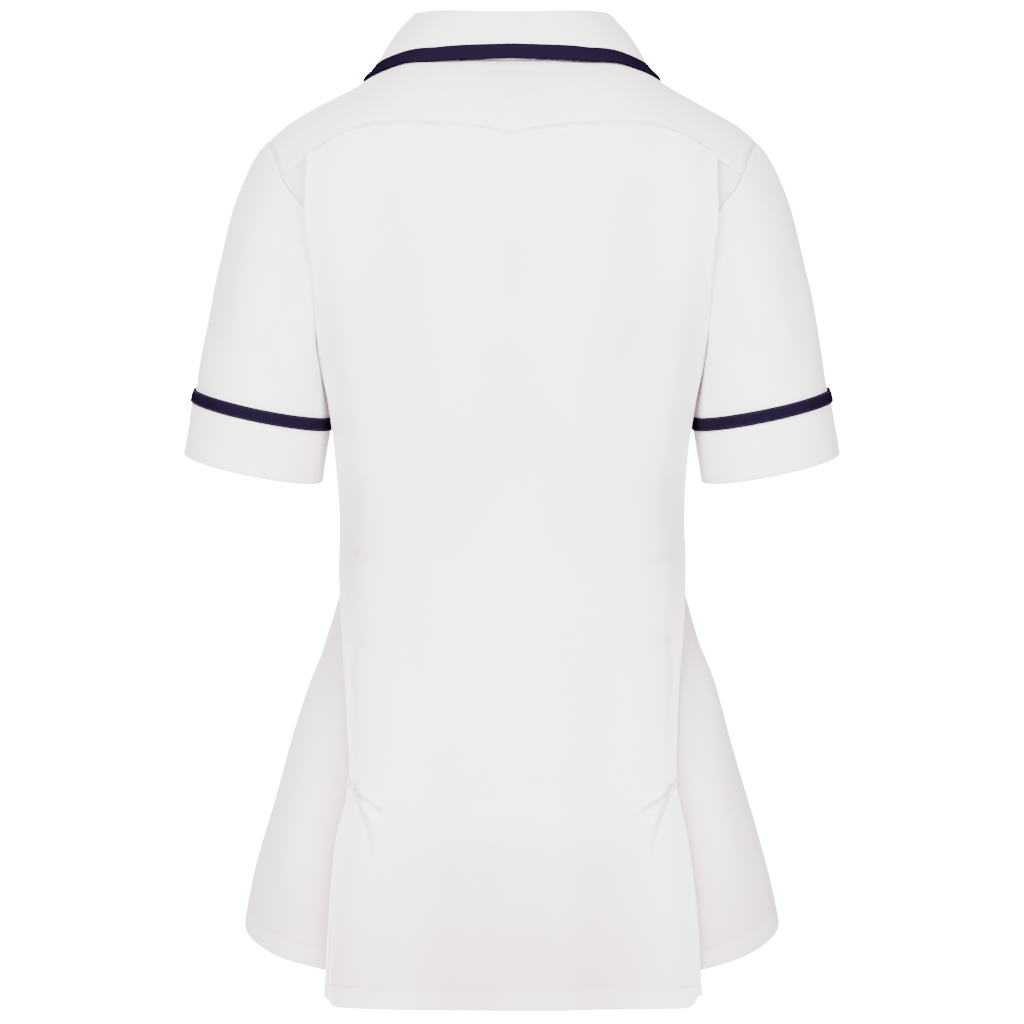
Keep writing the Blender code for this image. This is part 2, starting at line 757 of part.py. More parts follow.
def collar_section(along):
    """Points of the collar across one station: up the stand, over the roll, down the fall."""
    neck, roll, edge = collar_station(along)
    fall = edge - roll
    across = (fall - (neck - roll)).normalized()
    up = (roll - (neck + edge) / 2).normalized()
    rise = roll - up * 1.6
    inner = rise - across * COLLAR_ROLL_HALF
    outer = rise + across * COLLAR_ROLL_HALF
    side = (edge - neck).cross(up).normalized()
    bow = up.cross(side)
    if bow.dot(edge - neck) < 0:
        bow = -bow
    belly = (bow * 0.6 + up * 0.8) * (COLLAR_BELLY * fall.length)
    points = [neck, blend(neck, inner, 0.5), inner, roll, outer]
    for share in (0.3, 0.6, 0.85):
        points.append(blend(outer, edge, share) + belly * (4 * share * (1 - share)))
    points.append(edge)
    return points[:1] + [clear_of_torso(point) for point in points[1:]]


def collar_normals(grid):
    """Normals of the collar, which point away from the neck on the fall."""
    normals = grid_normals(grid)
    middle = len(grid) // 2
    sign = 1 if normals[middle][-1].y > 0 else -1
    return [[normal * sign for normal in line] for line in normals]


def make_collar():
    """The collar and the braid on its fall, mirrored about the centre back."""
    stations = spread(0, 1, 14) + list(COLLAR_FRONT_STATIONS)
    left = [collar_section(along) for along in stations]
    grid = mirrored(left[1:])[::-1] + left
    normals = collar_normals(grid)
    add_wall("collar", grid, COLLAR_WALL, "white_cloth", normals=normals)
    lift = COLLAR_WALL / 2 + TRIM_WALL / 2 + COLLAR_TRIM_GAP
    trim = []
    for line, line_normals in zip(grid, normals):
        trim.append([trim_point(line, line_normals, COLLAR_TRIM_WIDTH * share, lift) for share in (0, 0.5, 1)])
    add_wall("collar_trim", trim, TRIM_WALL, "navy_trim", inside=Vector((0, 200, 20)))


def trim_point(line, line_normals, distance, lift):
    """Point a distance up the fall from the collar's edge, moved out from the collar's points."""
    left = distance
    for i in range(len(line) - 1, 0, -1):
        length = (line[i - 1] - line[i]).length
        if left <= length:
            share = left / length
            normal = blend(line_normals[i], line_normals[i - 1], share).normalized()
            return blend(line[i], line[i - 1], share) + normal * lift
        left -= length
    return line[0] + line_normals[0] * lift


def make_revers():
    """The lapels, which lie on the fronts beside the open neck."""
    corner = (REVERS_CORNER_X, REVERS_CORNER_Z)
    grid = []
    for row in spread(0, 1, 8):
        roll_edge = neck_front_point(blend(REVERS_TOP, 0.99, row))
        outer_x = blend(corner[0], FRONT_OPENING_X + 8, row ** 0.9)
        outer_z = blend(corner[1], FRONT_OPENING_TOP_Z - 3, row)
        line = []
        for c in spread(0, 1, 6):
            x = blend(roll_edge.x, outer_x, c)
            z = blend(roll_edge.z, outer_z, c)
            line.append(Vector((x, surface_y(x, z, False), z)))
        grid.append(line)
    normals = facing_out(grid, False, Vector((0, 0, -90)))
    raised = [[p + n * REVERS_LIFT for p, n in zip(*pair)] for pair in zip(grid, normals)]
    for name, side_grid in (("revers_left", raised), ("revers_right", mirrored(raised))):
        add_wall(name, side_grid, WALL, "white_cloth", inside=Vector((0, 0, -90)))


def front_frame(z):
    """Point on the centre front with its outward normal and its downward direction."""
    point = Vector((0, surface_y(0, z, False), z))
    down = Vector((0, surface_y(0, z - 8, False) - surface_y(0, z + 8, False), -16)).normalized()
    outward = Vector((1, 0, 0)).cross(down).normalized()
    if outward.y > 0:
        outward = -outward
    return point, outward, down


def make_zip_tape():
    """The tape behind the two front edges."""
    grid = []
    levels = opening_levels()
    levels[0] -= 1
    levels[-1] += TAPE_END_ABOVE_HEM
    for z in levels:
        line = []
        for x in (-TAPE_HALF_WIDTH, 0, TAPE_HALF_WIDTH):
            _, outward, _ = front_frame(z)
            line.append(Vector((x, surface_y(x, z, False), z)) - outward * TAPE_DEPTH)
        grid.append(line)
    add_wall("zip_tape", grid, TAPE_WALL, "zip_tape", inside=Vector((0, 0, -350)))


def prism(mesh_bm, outline, half_width_x):
    """A solid between two copies of an outline given as (out, down) pairs, along X."""
    rings = []
    for x in (-half_width_x, half_width_x):
        rings.append([mesh_bm.verts.new((x, out, down)) for out, down in outline])
    count = len(outline)
    mesh_bm.faces.new(rings[0])
    mesh_bm.faces.new(rings[1][::-1])
    for i in range(count):
        k = (i + 1) % count
        mesh_bm.faces.new((rings[0][i], rings[0][k], rings[1][k], rings[1][i]))


def zip_placement():
    """Matrix that takes (x, out, down) at the slider's middle to the garment, in metres."""
    point, outward, down = front_frame(SLIDER_Z)
    rotation = Matrix((Vector((1, 0, 0)), outward, down)).transposed().to_4x4()
    return Matrix.Translation(point * MM) @ rotation @ Matrix.Scale(MM, 4)


def add_zip_part(name, mesh_bm, placement):
    """A metal zip part from a bmesh in the slider's own directions."""
    bmesh.ops.transform(mesh_bm, matrix=placement, verts=mesh_bm.verts)
    bmesh.ops.scale(mesh_bm, vec=(1 / MM, 1 / MM, 1 / MM), verts=mesh_bm.verts)
    return add_object(name, mesh_bm, "zip_metal")


def slider_outline():
    """Side view of the slider: its plate and the arched bridge that holds the pull."""
    half_length = SLIDER_SIZE.z / 2
    low = -SLIDER_SEAT
    high = low + SLIDER_SIZE.y
    chamfer = 0.8
    plate = [
        (low, -half_length + chamfer), (low, half_length - chamfer), (low + chamfer, half_length),
        (high - chamfer, half_length), (high, half_length - chamfer), (high, -half_length + chamfer),
        (high - chamfer, -half_length), (low + chamfer, -half_length),
    ]
    return plate, high


def make_zip_slider():
    """The slider's plate with its bridge."""
    plate, top = slider_outline()
    mesh_bm = bmesh.new()
    prism(mesh_bm, plate, SLIDER_SIZE.x / 2)
    placement = zip_placement()
    slider = add_zip_part("zip_slider", mesh_bm, placement)
    centre = top + PIVOT_OUT
    outer = [(top - 0.6, BRIDGE_OUTER_RADIUS)]
    inner = [(top - 0.6, BRIDGE_INNER_RADIUS)]
    for a in spread(math.pi / 2, -math.pi / 2, 9):
        outer.append((centre + BRIDGE_OUTER_RADIUS * math.cos(a), BRIDGE_OUTER_RADIUS * math.sin(a)))
        inner.append((centre + BRIDGE_INNER_RADIUS * math.cos(a), BRIDGE_INNER_RADIUS * math.sin(a)))
    outer.append((top - 0.6, -BRIDGE_OUTER_RADIUS))
    inner.append((top - 0.6, -BRIDGE_INNER_RADIUS))
    bridge_bm = bmesh.new()
    prism(bridge_bm, outer + inner[::-1], BRIDGE_WIDTH / 2)
    bridge = add_zip_part("zip_bridge_cutter", bridge_bm, placement)
    join_solid(slider, bridge)
    return centre


def join_solid(item, other):
    """Fuse another solid into an object and hide the other one."""
    union = item.modifiers.new("join", "BOOLEAN")
    union.operation = "UNION"
    union.solver = "EXACT"
    union.object = other
    other.hide_render = True
    other.hide_set(True)
    other.display_type = "WIRE"


def make_zip_pull(pivot_out):
    """The pull tab: a round bar in the bridge and a flat tab with a window, hanging down."""
    window = PULL_WINDOW_WIDTH / 2
    half = PULL_WIDTH / 2
    wall = PULL_WALL / 2
    bar_bm = bmesh.new()
    sides = 14
    circle = [
        (pivot_out + PULL_BAR_RADIUS * math.cos(2 * math.pi * i / sides),
         PULL_BAR_RADIUS * math.sin(2 * math.pi * i / sides)) for i in range(sides)
    ]
    prism(bar_bm, circle, half)
    placement = zip_placement()
    pull = add_zip_part("zip_pull", bar_bm, placement)
    frame_bm = bmesh.new()
    outline = [
        (-half, 0.1), (-half, PULL_LENGTH - 3), (-half * 0.6, PULL_LENGTH), (half * 0.6, PULL_LENGTH),
        (half, PULL_LENGTH - 3), (half, 0.1), (window, 0.1), (window, PULL_WINDOW_LENGTH),
        (-window, PULL_WINDOW_LENGTH), (-window, 0.1),
    ]
    rings = [
        [frame_bm.verts.new((x, pivot_out + out, down)) for x, down in outline] for out in (-wall, wall)
    ]
    frame_bm.faces.new(rings[0])
    frame_bm.faces.new(rings[1][::-1])
    for i in range(len(outline)):
        k = (i + 1) % len(outline)
        frame_bm.faces.new((rings[0][i], rings[0][k], rings[1][k], rings[1][i]))
    frame = add_zip_part("zip_tab_cutter", frame_bm, placement)
    join_solid(pull, frame)


def clear_scene():
    """Remove what the start file holds."""
    for item in list(bpy.data.objects):
        bpy.data.objects.remove(item, do_unlink=True)


def main():
    """Build every piece of the tunic."""
    clear_scene()
    make_yoke()
    make_back_centre()
    make_side_back()
    make_fronts()
    make_sleeves()
    make_collar()
    make_revers()
    make_zip_tape()
    pivot_out = make_zip_slider()
    make_zip_pull(pivot_out)


main()
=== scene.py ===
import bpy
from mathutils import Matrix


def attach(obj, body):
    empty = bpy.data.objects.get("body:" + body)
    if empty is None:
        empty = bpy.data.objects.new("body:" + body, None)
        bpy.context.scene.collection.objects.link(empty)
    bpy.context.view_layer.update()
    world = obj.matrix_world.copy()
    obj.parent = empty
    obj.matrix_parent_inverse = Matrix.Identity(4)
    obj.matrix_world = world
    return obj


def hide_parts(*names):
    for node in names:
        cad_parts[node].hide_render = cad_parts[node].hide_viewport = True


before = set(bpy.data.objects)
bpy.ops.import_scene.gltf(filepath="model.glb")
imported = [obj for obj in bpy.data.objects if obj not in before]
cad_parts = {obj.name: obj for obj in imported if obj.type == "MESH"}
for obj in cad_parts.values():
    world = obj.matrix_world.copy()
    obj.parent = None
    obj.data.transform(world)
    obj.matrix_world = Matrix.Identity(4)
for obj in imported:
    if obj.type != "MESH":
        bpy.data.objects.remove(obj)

"""Visual model of a short-sleeved healthcare tunic in its worn, hollow form, seen from behind.

Lengths are in millimetres until a mesh is made, then in metres. The wearer faces -Y, +X is the
wearer's left and +Z is up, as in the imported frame.
"""
import logging
import math
from dataclasses import dataclass, field
from enum import Enum
from typing import Any, Callable, Sequence

import bmesh
import bpy
import numpy as np
from mathutils import Matrix, Vector

MM = 0.001
GARMENT = "garment"
Rows = Sequence[Sequence[float]]
Grid = list[list[Vector]]
Array = np.ndarray
Item = bpy.types.Object
Material = bpy.types.Material
Field = Callable[[Array], Array]

log = logging.getLogger("tunic")


class Slot(Enum):
    """Material slots of the record."""

    WHITE = "white_cloth"
    NAVY = "navy_trim"
    TAPE = "zip_tape"
    METAL = "zip_metal"


class Held(Enum):
    """How a sheet of cloth is held."""

    HUNG = "hung"
    FOLDED = "folded"
    STRETCHED = "stretched"


class Side(Enum):
    """The wearer's left or right, with the sign of X there."""

    LEFT = 1
    RIGHT = -1

    @property
    def word(self) -> str:
        """The side's name as it ends a node's name."""
        return self.name.lower()

    def turned(self, grid: Grid) -> Grid:
        """A grid of the left side as it is on this side."""
        return grid if self is Side.LEFT else mirrored(grid)


def blend(a: Any, b: Any, t: float) -> Any:
    """Straight mix of two numbers or vectors, where t is the share of the second."""
    return a + (b - a) * t


def smooth(t: Any) -> Any:
    """A soft step from 0 to 1 for numbers and arrays, held at the ends outside that range."""
    t = np.clip(t, 0.0, 1.0)
    return t * t * (3 - 2 * t)


def spread(start: float, end: float, count: int) -> list[float]:
    """Evenly spaced numbers, both ends included."""
    return [blend(start, end, i / (count - 1)) for i in range(count)]


def bell(t: Any) -> Any:
    """A hump of height 1 at 0 that fades to both sides, for numbers and arrays."""
    return np.exp(-(t**2))


def curve_point(t: float, start: Any, leave: Any, end: Any, arrive: Any) -> Any:
    """Point at a share t of a curve between two points that leaves and arrives with given slopes."""
    low = (2 * t**3 - 3 * t**2 + 1) * start + (t**3 - 2 * t**2 + t) * leave
    return low + (3 * t**2 - 2 * t**3) * end + (t**3 - t**2) * arrive


def mirrored(grid: Grid) -> Grid:
    """The same grid of points on the wearer's other side."""
    return [[Vector((-p.x, p.y, p.z)) for p in line] for line in grid]


def pull_in(grid: Grid, distance: float = 0.25) -> Grid:
    """Draw the open edges of a grid in, which leaves the gap of a seam.

    Args:
        grid: Points of a panel.
        distance: How far each edge moves.

    Returns:
        The narrower grid.
    """
    rows = [list(line) for line in grid]
    last = len(rows) - 1
    for edge, inner in ((0, 1), (last, last - 1)):
        rows[edge] = [p + (q - p).normalized() * distance for p, q in zip(rows[edge], rows[inner])]
    for line in rows:
        line[0] = line[0] + (line[1] - line[0]).normalized() * distance
        line[-1] = line[-1] + (line[-2] - line[-1]).normalized() * distance
    return rows


def unit(vectors: Array) -> Array:
    """Vectors of length 1 in the same directions."""
    return vectors / np.maximum(np.linalg.norm(vectors, axis=-1, keepdims=True), 1e-9)


def run_of(points: Array) -> Array:
    """Length along a line of points up to each of them."""
    return np.concatenate([[0], np.cumsum(np.linalg.norm(np.diff(points, axis=0), axis=1))])


def along_line(at: Any, run: Array, values: Array) -> Array:
    """Points or directions at some lengths along a line of them."""
    return np.stack([np.interp(at, run, values[:, k]) for k in range(3)], axis=-1)


class Track:
    """A smooth function of a table's first column, through the values of another column."""

    def __init__(self, table: Rows, column: int) -> None:
        """Prepare the curve.

        Args:
            table: Rows whose first number is the key.
            column: Which number of a row is the value.
        """
        rows = sorted(table)
        self.keys = [row[0] for row in rows]
        self.values = [row[column] for row in rows]
        self.slopes = []
        for i in range(len(rows)):
            low, high = max(i - 1, 0), min(i + 1, len(rows) - 1)
            self.slopes.append((self.values[high] - self.values[low]) / (self.keys[high] - self.keys[low]))

    def __call__(self, key: float) -> float:
        """Value at a key.

        Args:
            key: Where to read the curve; past the ends it runs on straight.

        Returns:
            The value there.
        """
        keys, values, slopes = self.keys, self.values, self.slopes
        if key <= keys[0]:
            return values[0] + slopes[0] * (key - keys[0])
        if key >= keys[-1]:
            return values[-1] + slopes[-1] * (key - keys[-1])
        i = max(j for j in range(len(keys) - 1) if keys[j] <= key)
        span = keys[i + 1] - keys[i]
        t = (key - keys[i]) / span
        return curve_point(t, values[i], span * slopes[i], values[i + 1], span * slopes[i + 1])


@dataclass
class Torso:
    """The surface that the yoke, the backs and the fronts lie on, with the armhole on it, in millimetres."""

    power: float = 2.35
    roll_back: float = 70
    roll_front: float = 75
    rings: Rows = (
        (40, 212, 103, 80), (-50, 212, 104, 86), (-110, 212, 105, 98), (-150, 195, 104, 112),
        (-180, 172, 102, 122), (-211, 148, 100, 130), (-240, 138.5, 95, 133), (-273, 132.5, 88, 127),
        (-308, 129, 81, 115), (-343, 127.5, 78, 106), (-378, 129.5, 84, 108), (-434, 144, 102, 117),
        (-501, 164.8, 116, 126), (-566, 185, 122, 133), (-631, 203.4, 127, 139), (-665, 208, 128.5, 142),
        (-708, 209, 130, 144),
    )
    ridge: Rows = (
        (0, 19), (50, 19), (78, 17), (98, 8), (118, -5), (158, -26.5), (175, -36.5), (190, -49), (212, -75),
    )
    armhole: Rows = (
        (0, -48), (40, -60), (63, -81), (77, -102), (80.5, -124), (78, -150), (63, -180), (34, -203),
        (0, -211), (-36, -203), (-68, -183), (-84, -155), (-80, -127), (-73, -100), (-58, -77), (-36, -58),
    )
    underarm_step: float = 8
    armhole_sample: float = 0.5
    yoke_back_step: float = 2.0
    yoke_front_step: float = 14.5
    neck_half_width: float = 78
    neck_back_roll: float = 0.387
    neck_side_z: float = 17
    opening_x: float = 6
    opening_top_z: float = -112
    yoke_front_at_neck: float = 0.1
    yoke_seam: Rows = ((0, -52), (35, -46), (95, -43.5), (118, -46.5), (152, -66))
    back_hem_z: float = -708
    seam_hem_z: float = -649
    side_hem_slope: float = 40
    front_hem_drop: float = 22

    def __post_init__(self) -> None:
        """Prepare the curves of the form: half width, depths, shoulder ridge and yoke seam."""
        self.half_width, self.back_depth, self.front_depth = (Track(self.rings, k) for k in (1, 2, 3))
        self.ridge_z = Track(self.ridge, 1)
        self.yoke_corner = self.armhole_point(self.yoke_back_step)
        self.yoke_seam_z = Track((*self.yoke_seam, (self.yoke_corner.x, self.yoke_corner.z)), 1)

    def depth_at(self, x: float, z: float, back: bool) -> float:
        """Depth of the ring at x and z, before the shoulder roll."""
        share = min(abs(x) / self.half_width(z), 1.0) ** self.power
        return (self.back_depth if back else self.front_depth)(z) * (1 - share) ** (1 / self.power)

    def roll(self, back: bool) -> float:
        """Height over which the cloth rolls from the ridge to the back or front."""
        return self.roll_back if back else self.roll_front

    def surface_y(self, x: float, z: float, back: bool) -> float:
        """Y of the surface at x and z."""
        level = 1 - min(max((self.ridge_z(abs(x)) - z) / self.roll(back), 0), 1)
        return self.depth_at(x, z, back) * math.sqrt(1 - level**2) * (1 if back else -1)

    def at(self, x: float, z: float, back: bool) -> Vector:
        """Point of the surface at x and z."""
        return Vector((x, self.surface_y(x, z, back), z))

    def ring_angle(self, x: float, z: float) -> float:
        """Angle from the side seam at which the ring at z has the half width x."""
        return math.acos(min(abs(x) / self.half_width(z), 1.0) ** (self.power / 2))

    def point(self, angle: float, z: float, back: bool) -> Vector:
        """Point of the surface, angle 0 at the side seam and a quarter turn at the centre."""
        return self.at(self.half_width(z) * max(math.cos(angle), 0.0) ** (2 / self.power), z, back)

    def hood_point(self, x: float, turn: float) -> Vector:
        """Point over the shoulder.

        Args:
            x: Distance from the middle.
            turn: 0 on the ridge, 1 where the back hangs, -1 where the front hangs.

        Returns:
            The point.
        """
        back = turn >= 0
        angle = min(abs(turn), 1.0) * math.pi / 2
        z = self.ridge_z(abs(x)) - self.roll(back) * (1 - math.cos(angle) + max(abs(turn) - 1, 0))
        depth = self.depth_at(x, z, back) * math.sin(angle)
        return Vector((x, depth if back else -depth, z))

    def hood_turn(self, x: float, z: float, back: bool) -> float:
        """The turn over the shoulder at which the surface at x has the height z."""
        drop = max(self.ridge_z(abs(x)) - z, 0) / self.roll(back)
        return (math.acos(1 - drop) / (math.pi / 2) if drop < 1 else drop) * (1 if back else -1)

    def armhole_point(self, step: float) -> Vector:
        """Point of the left armhole seam.

        Args:
            step: Place along the armhole's table, which runs round.

        Returns:
            The point, where the surface has the seam's y and z.
        """
        count = len(self.armhole)
        base = math.floor(step)
        before, start, end, after = [Vector(self.armhole[(base + k) % count]) for k in (-1, 0, 1, 2)]
        y, z = curve_point(step - base, start, (end - before) * 0.5, end, (after - start) * 0.5)
        low, high = self.neck_half_width, self.half_width(z)
        for _ in range(40):
            middle = (low + high) / 2
            if abs(self.surface_y(middle, z, y >= 0)) > max(abs(y), 0.001):
                low = middle
            else:
                high = middle
        return Vector((low, y, z))

    def armhole_steps(self, start: float, end: float) -> list[float]:
        """Steps along the armhole, the same on every piece that ends there."""
        return spread(start, end, round(abs(end - start) / self.armhole_sample) + 1)

    def outer_line(self, start: float) -> list[tuple[float, float]]:
        """The armhole below the yoke and then the side seam.

        Args:
            start: Step of the armhole at which the yoke ends.

        Returns:
            Ring angles and heights, from the yoke to the hem.
        """
        points = [self.armhole_point(step) for step in self.armhole_steps(start, self.underarm_step)]
        line = [(self.ring_angle(point.x, point.z), point.z) for point in points[:-1]]
        top = self.armhole[int(self.underarm_step)][1]
        return [*line, (0.0, points[-1].z), *((0.0, z) for z in spread(top, self.seam_hem_z, 16)[1:])]

    def neck_front_point(self, share: float) -> Vector:
        """Point of the open front's edge, from the side of the neck to the top of the zip."""
        x = blend(self.neck_half_width, self.opening_x, share)
        return self.at(x, blend(self.neck_side_z, self.opening_top_z, share), False)

    def neck_turn(self, along: float) -> tuple[float, float]:
        """Place of the neck seam over the shoulder.

        Args:
            along: 0 at the centre back, 1 at the side, then down the front.

        Returns:
            Its x and turn.
        """
        if along <= 1:
            angle = along * math.pi / 2
            return self.neck_half_width * math.sin(angle), self.neck_back_roll * math.cos(angle)
        point = self.neck_front_point(along - 1)
        return point.x, self.hood_turn(point.x, point.z, False)

    def neck_point(self, along: float) -> Vector:
        """Point of the neck seam."""
        return self.hood_point(*self.neck_turn(along)) if along <= 1 else self.neck_front_point(along - 1)

    def hem_z(self, angle: float, back: bool) -> float:
        """Height of the side back's or front's hem at an angle from the side seam."""
        rise = max(math.sin(angle), 0.0) ** (2 / self.power) if back else math.sin(angle) ** 2
        return self.seam_hem_z - (self.side_hem_slope if back else self.front_hem_drop) * rise

    def lifted(self, x: float, z: float, lift: float, step: float = 2.0) -> Vector:
        """A point of the back moved out along the surface's normal.

        Args:
            x: Distance from the middle.
            z: Height.
            lift: How far it moves.
            step: Reach over which the normal is measured.

        Returns:
            The moved point.
        """
        x_high = min(abs(x) + step, self.half_width(z) - 0.5)
        across = self.at(x_high, z, True) - self.at(x_high - 2 * step, z, True)
        down = self.at(x, z - step, True) - self.at(x, z + step, True)
        normal = across.cross(down).normalized()
        if x < 0:
            normal.x = -normal.x
        return self.at(x, z, True) + normal * lift


@dataclass(frozen=True)
class Spots:
    """Points of a sheet with their row and column places from 0 to 1."""

    points: Array
    u: Array
    v: Array


@dataclass(frozen=True)
class Crease:
    """A soft ridge or hollow along a bent line in the photo's plane (x, z), on one side of y."""

    start: tuple[float, float]
    end: tuple[float, float]
    width: float
    height: float
    bow: float = 0.0
    mark: float = 0.0
    back: bool = True

    def __call__(self, points: Array) -> Array:
        """How far each point moves out; it is negative in a hollow."""
        return 1.4 * self.height * self.strength(points, self.width)

    def shade(self, spots: Spots) -> Array:
        """Painted shade along the core of the crease at each point."""
        return self.mark * self.strength(spots.points, 1.3)

    def strength(self, points: Array, width: float) -> Array:
        """Share of the crease at each point.

        Args:
            points: Array of points in millimetres.
            width: Half width of its core.

        Returns:
            One share a point.
        """
        start = np.array(self.start)
        along = np.array(self.end) - start
        length = float(np.linalg.norm(along))
        along = along / length
        flat = points[..., (0, 2)] - start
        t = flat @ along / length
        held = np.clip(t, 0, 1)
        offset = flat @ np.array((-along[1], along[0])) - self.bow * 4 * held * (1 - held)
        ends = smooth(t / 0.25) * smooth((1 - t) / 0.25)
        facing = smooth((points[..., 1] if self.back else -points[..., 1]) / 12)
        return bell(offset / width) * ends * facing


def creases(rows: Rows, side: int = 1, back: bool = True) -> list[Crease]:
    """Creases of a table of start x and z, end x and z, width, height, bow and painted shade along the core.
    """
    return [Crease((side * x0, z0), (side * x1, z1), *rest, back=back) for x0, z0, x1, z1, *rest in rows]


@dataclass(frozen=True)
class Flutes:
    """Soft upright folds that grow towards a hem, the same on every panel that they cross."""

    start_z: float
    end_z: float
    height: float
    waves: Rows = ((9, 0.4, 0.55), (14, 2.1, 0.3), (23, 4.4, 0.15))

    def __call__(self, points: Array) -> Array:
        """How far each point moves out.

        Args:
            points: Array of points in millimetres.

        Returns:
            One distance a point.
        """
        x, y, z = (points[..., k] for k in range(3))
        turn = np.arctan2(y + 5, x)
        total = sum(share * np.sin(turn * count + phase + z * 0.0022) for count, phase, share in self.waves)
        grow = smooth((self.start_z - z) / (self.start_z - self.end_z))
        return self.height * grow * total * smooth(np.abs(y) / 70)


@dataclass(frozen=True)
class Drift:
    """Slow, shallow unevenness that keeps large plain areas from looking ironed flat."""

    height: float
    size: float

    def __call__(self, points: Array) -> Array:
        """How far each point moves out.

        Args:
            points: Array of points in millimetres.

        Returns:
            One distance a point.
        """
        x, y, z = (points[..., k] / self.size for k in range(3))
        first = np.sin(x * 2.1 + np.sin(z * 1.3) * 1.2 + 0.7) * np.sin(z * 1.7 + y * 0.9)
        return self.height * (first + np.sin(x * 4.3 - z * 2.9 + y * 1.7 + 2.0) * 0.45)


@dataclass(frozen=True)
class Layer:
    """A soft patch of the back painted darker, or lighter where its amount is below 0: painted shade of
    hollows and of cloth turned from the light, with some cloth showing through from behind.
    """

    x: float
    z: float
    width: float
    height: float
    amount: float

    def shade(self, spots: Spots) -> Array:
        """How much each point darkens."""
        x, y, z = np.abs(spots.points[..., 0]) - self.x, spots.points[..., 1], spots.points[..., 2] - self.z
        return self.amount * bell(x / self.width) * bell(z / self.height) * smooth(y / 20)


# Painted shade that all cloth gets; seams, creases and patches add more, and painted highlights take some
# away.
PLAIN_SHADE = 0.2
# Painted shade in hollows and painted light on ridges, for each millimetre that the fields move the cloth.
SHADE_OF_HEIGHT = 0.05
# Painted shade at the waist's sides, low on the back where the cloth turns downward, on the upper back and at
# the collar and the yoke under it; the patch with an amount below 0 is painted lighter.
SHADE_PATCHES: tuple[Layer, ...] = (
    Layer(122, -385, 22, 100, 0.30),
    Layer(60, -345, 30, 34, 0.14),
    Layer(0, -690, 190, 80, 0.7),
    Layer(0, -596, 90, 26, 0.2),
    Layer(78, -150, 22, 95, 0.10),
    Layer(0, -150, 22, 110, 0.08),
    Layer(0, -490, 90, 100, -0.05),
    Layer(0, 34, 200, 24, 0.3),
    Layer(0, -15, 260, 30, 0.14),
)


@dataclass
class Band:
    """A folded hem or a stitched line that runs beside an edge of a panel."""

    at: Callable[[Spots], Array]
    width: float
    thick: float = 0.35
    groove: float = 0.3
    groove_width: float = 0.7

    def __call__(self, spots: Spots) -> Array:
        """How far each point moves out: the doubled cloth up, the stitched line down."""
        inside = self.width - self.at(spots)
        return smooth(inside / 1.6 + 0.5) * self.thick - self.groove * bell(inside / self.groove_width)

    def shade(self, spots: Spots) -> Array:
        """Painted shade along the stitched line's groove, and a lighter tone where the cloth is doubled."""
        inside = self.width - self.at(spots)
        return 0.35 * bell(inside / 1.1) - 0.15 * smooth(inside / 1.6 + 0.5)


@dataclass(frozen=True)
class SeamDip:
    """The way that cloth dips and puckers a little beside a sewn seam."""

    row_length: float
    column_length: float
    top: bool = True
    bottom: bool = True
    left: bool = True
    right: bool = True
    depth: float = 0.8
    width: float = 1.9
    pucker: float = 0.16
    wave: float = 9.0

    def __call__(self, spots: Spots) -> Array:
        """How far each point moves out.

        Args:
            spots: The points.

        Returns:
            One distance a point.
        """
        run = spots.points @ np.array((1, 0.7, 1)) * (2 * math.pi / self.wave)
        ripple = self.pucker * np.sin(run + np.sin(run * 0.37) * 1.5)
        gaps = self.gaps(spots)
        return sum(ripple * np.exp(-gap / 7) - self.depth * bell(gap / self.width) for gap in gaps)

    def gaps(self, spots: Spots) -> list[Array]:
        """Distances of the points from each of the sewn edges.

        Args:
            spots: The points.

        Returns:
            One array for each sewn edge.
        """
        rows, columns = self.row_length, self.column_length
        gaps = (spots.u * rows, (1 - spots.u) * rows, spots.v * columns, (1 - spots.v) * columns)
        return [gap for used, gap in zip((self.top, self.bottom, self.left, self.right), gaps) if used]

    def shade(self, spots: Spots) -> Array:
        """Painted shade in each seam's groove and round it, and a painted highlight on the ridge beside the
        groove.
        """
        gaps = self.gaps(spots)
        return sum(0.6 * bell(g / 1.4) - 0.2 * bell((g - 3.4) / 1.3) + 0.1 * np.exp(-g / 9) for g in gaps)


@dataclass(frozen=True)
class FoldShade:
    """A soft strip of a panel with painted shade beside a fold, or a painted highlight on the fold's roll
    where its amount is below 0.
    """

    gap: Callable[[Spots], Array]
    at: float
    width: float
    amount: float

    def __call__(self, spots: Spots) -> float:
        """The strip moves nothing."""
        return 0.0

    def shade(self, spots: Spots) -> Array:
        """How much painted shade each point gets; below 0 it is a painted highlight."""
        return self.amount * bell((self.gap(spots) - self.at) / self.width)


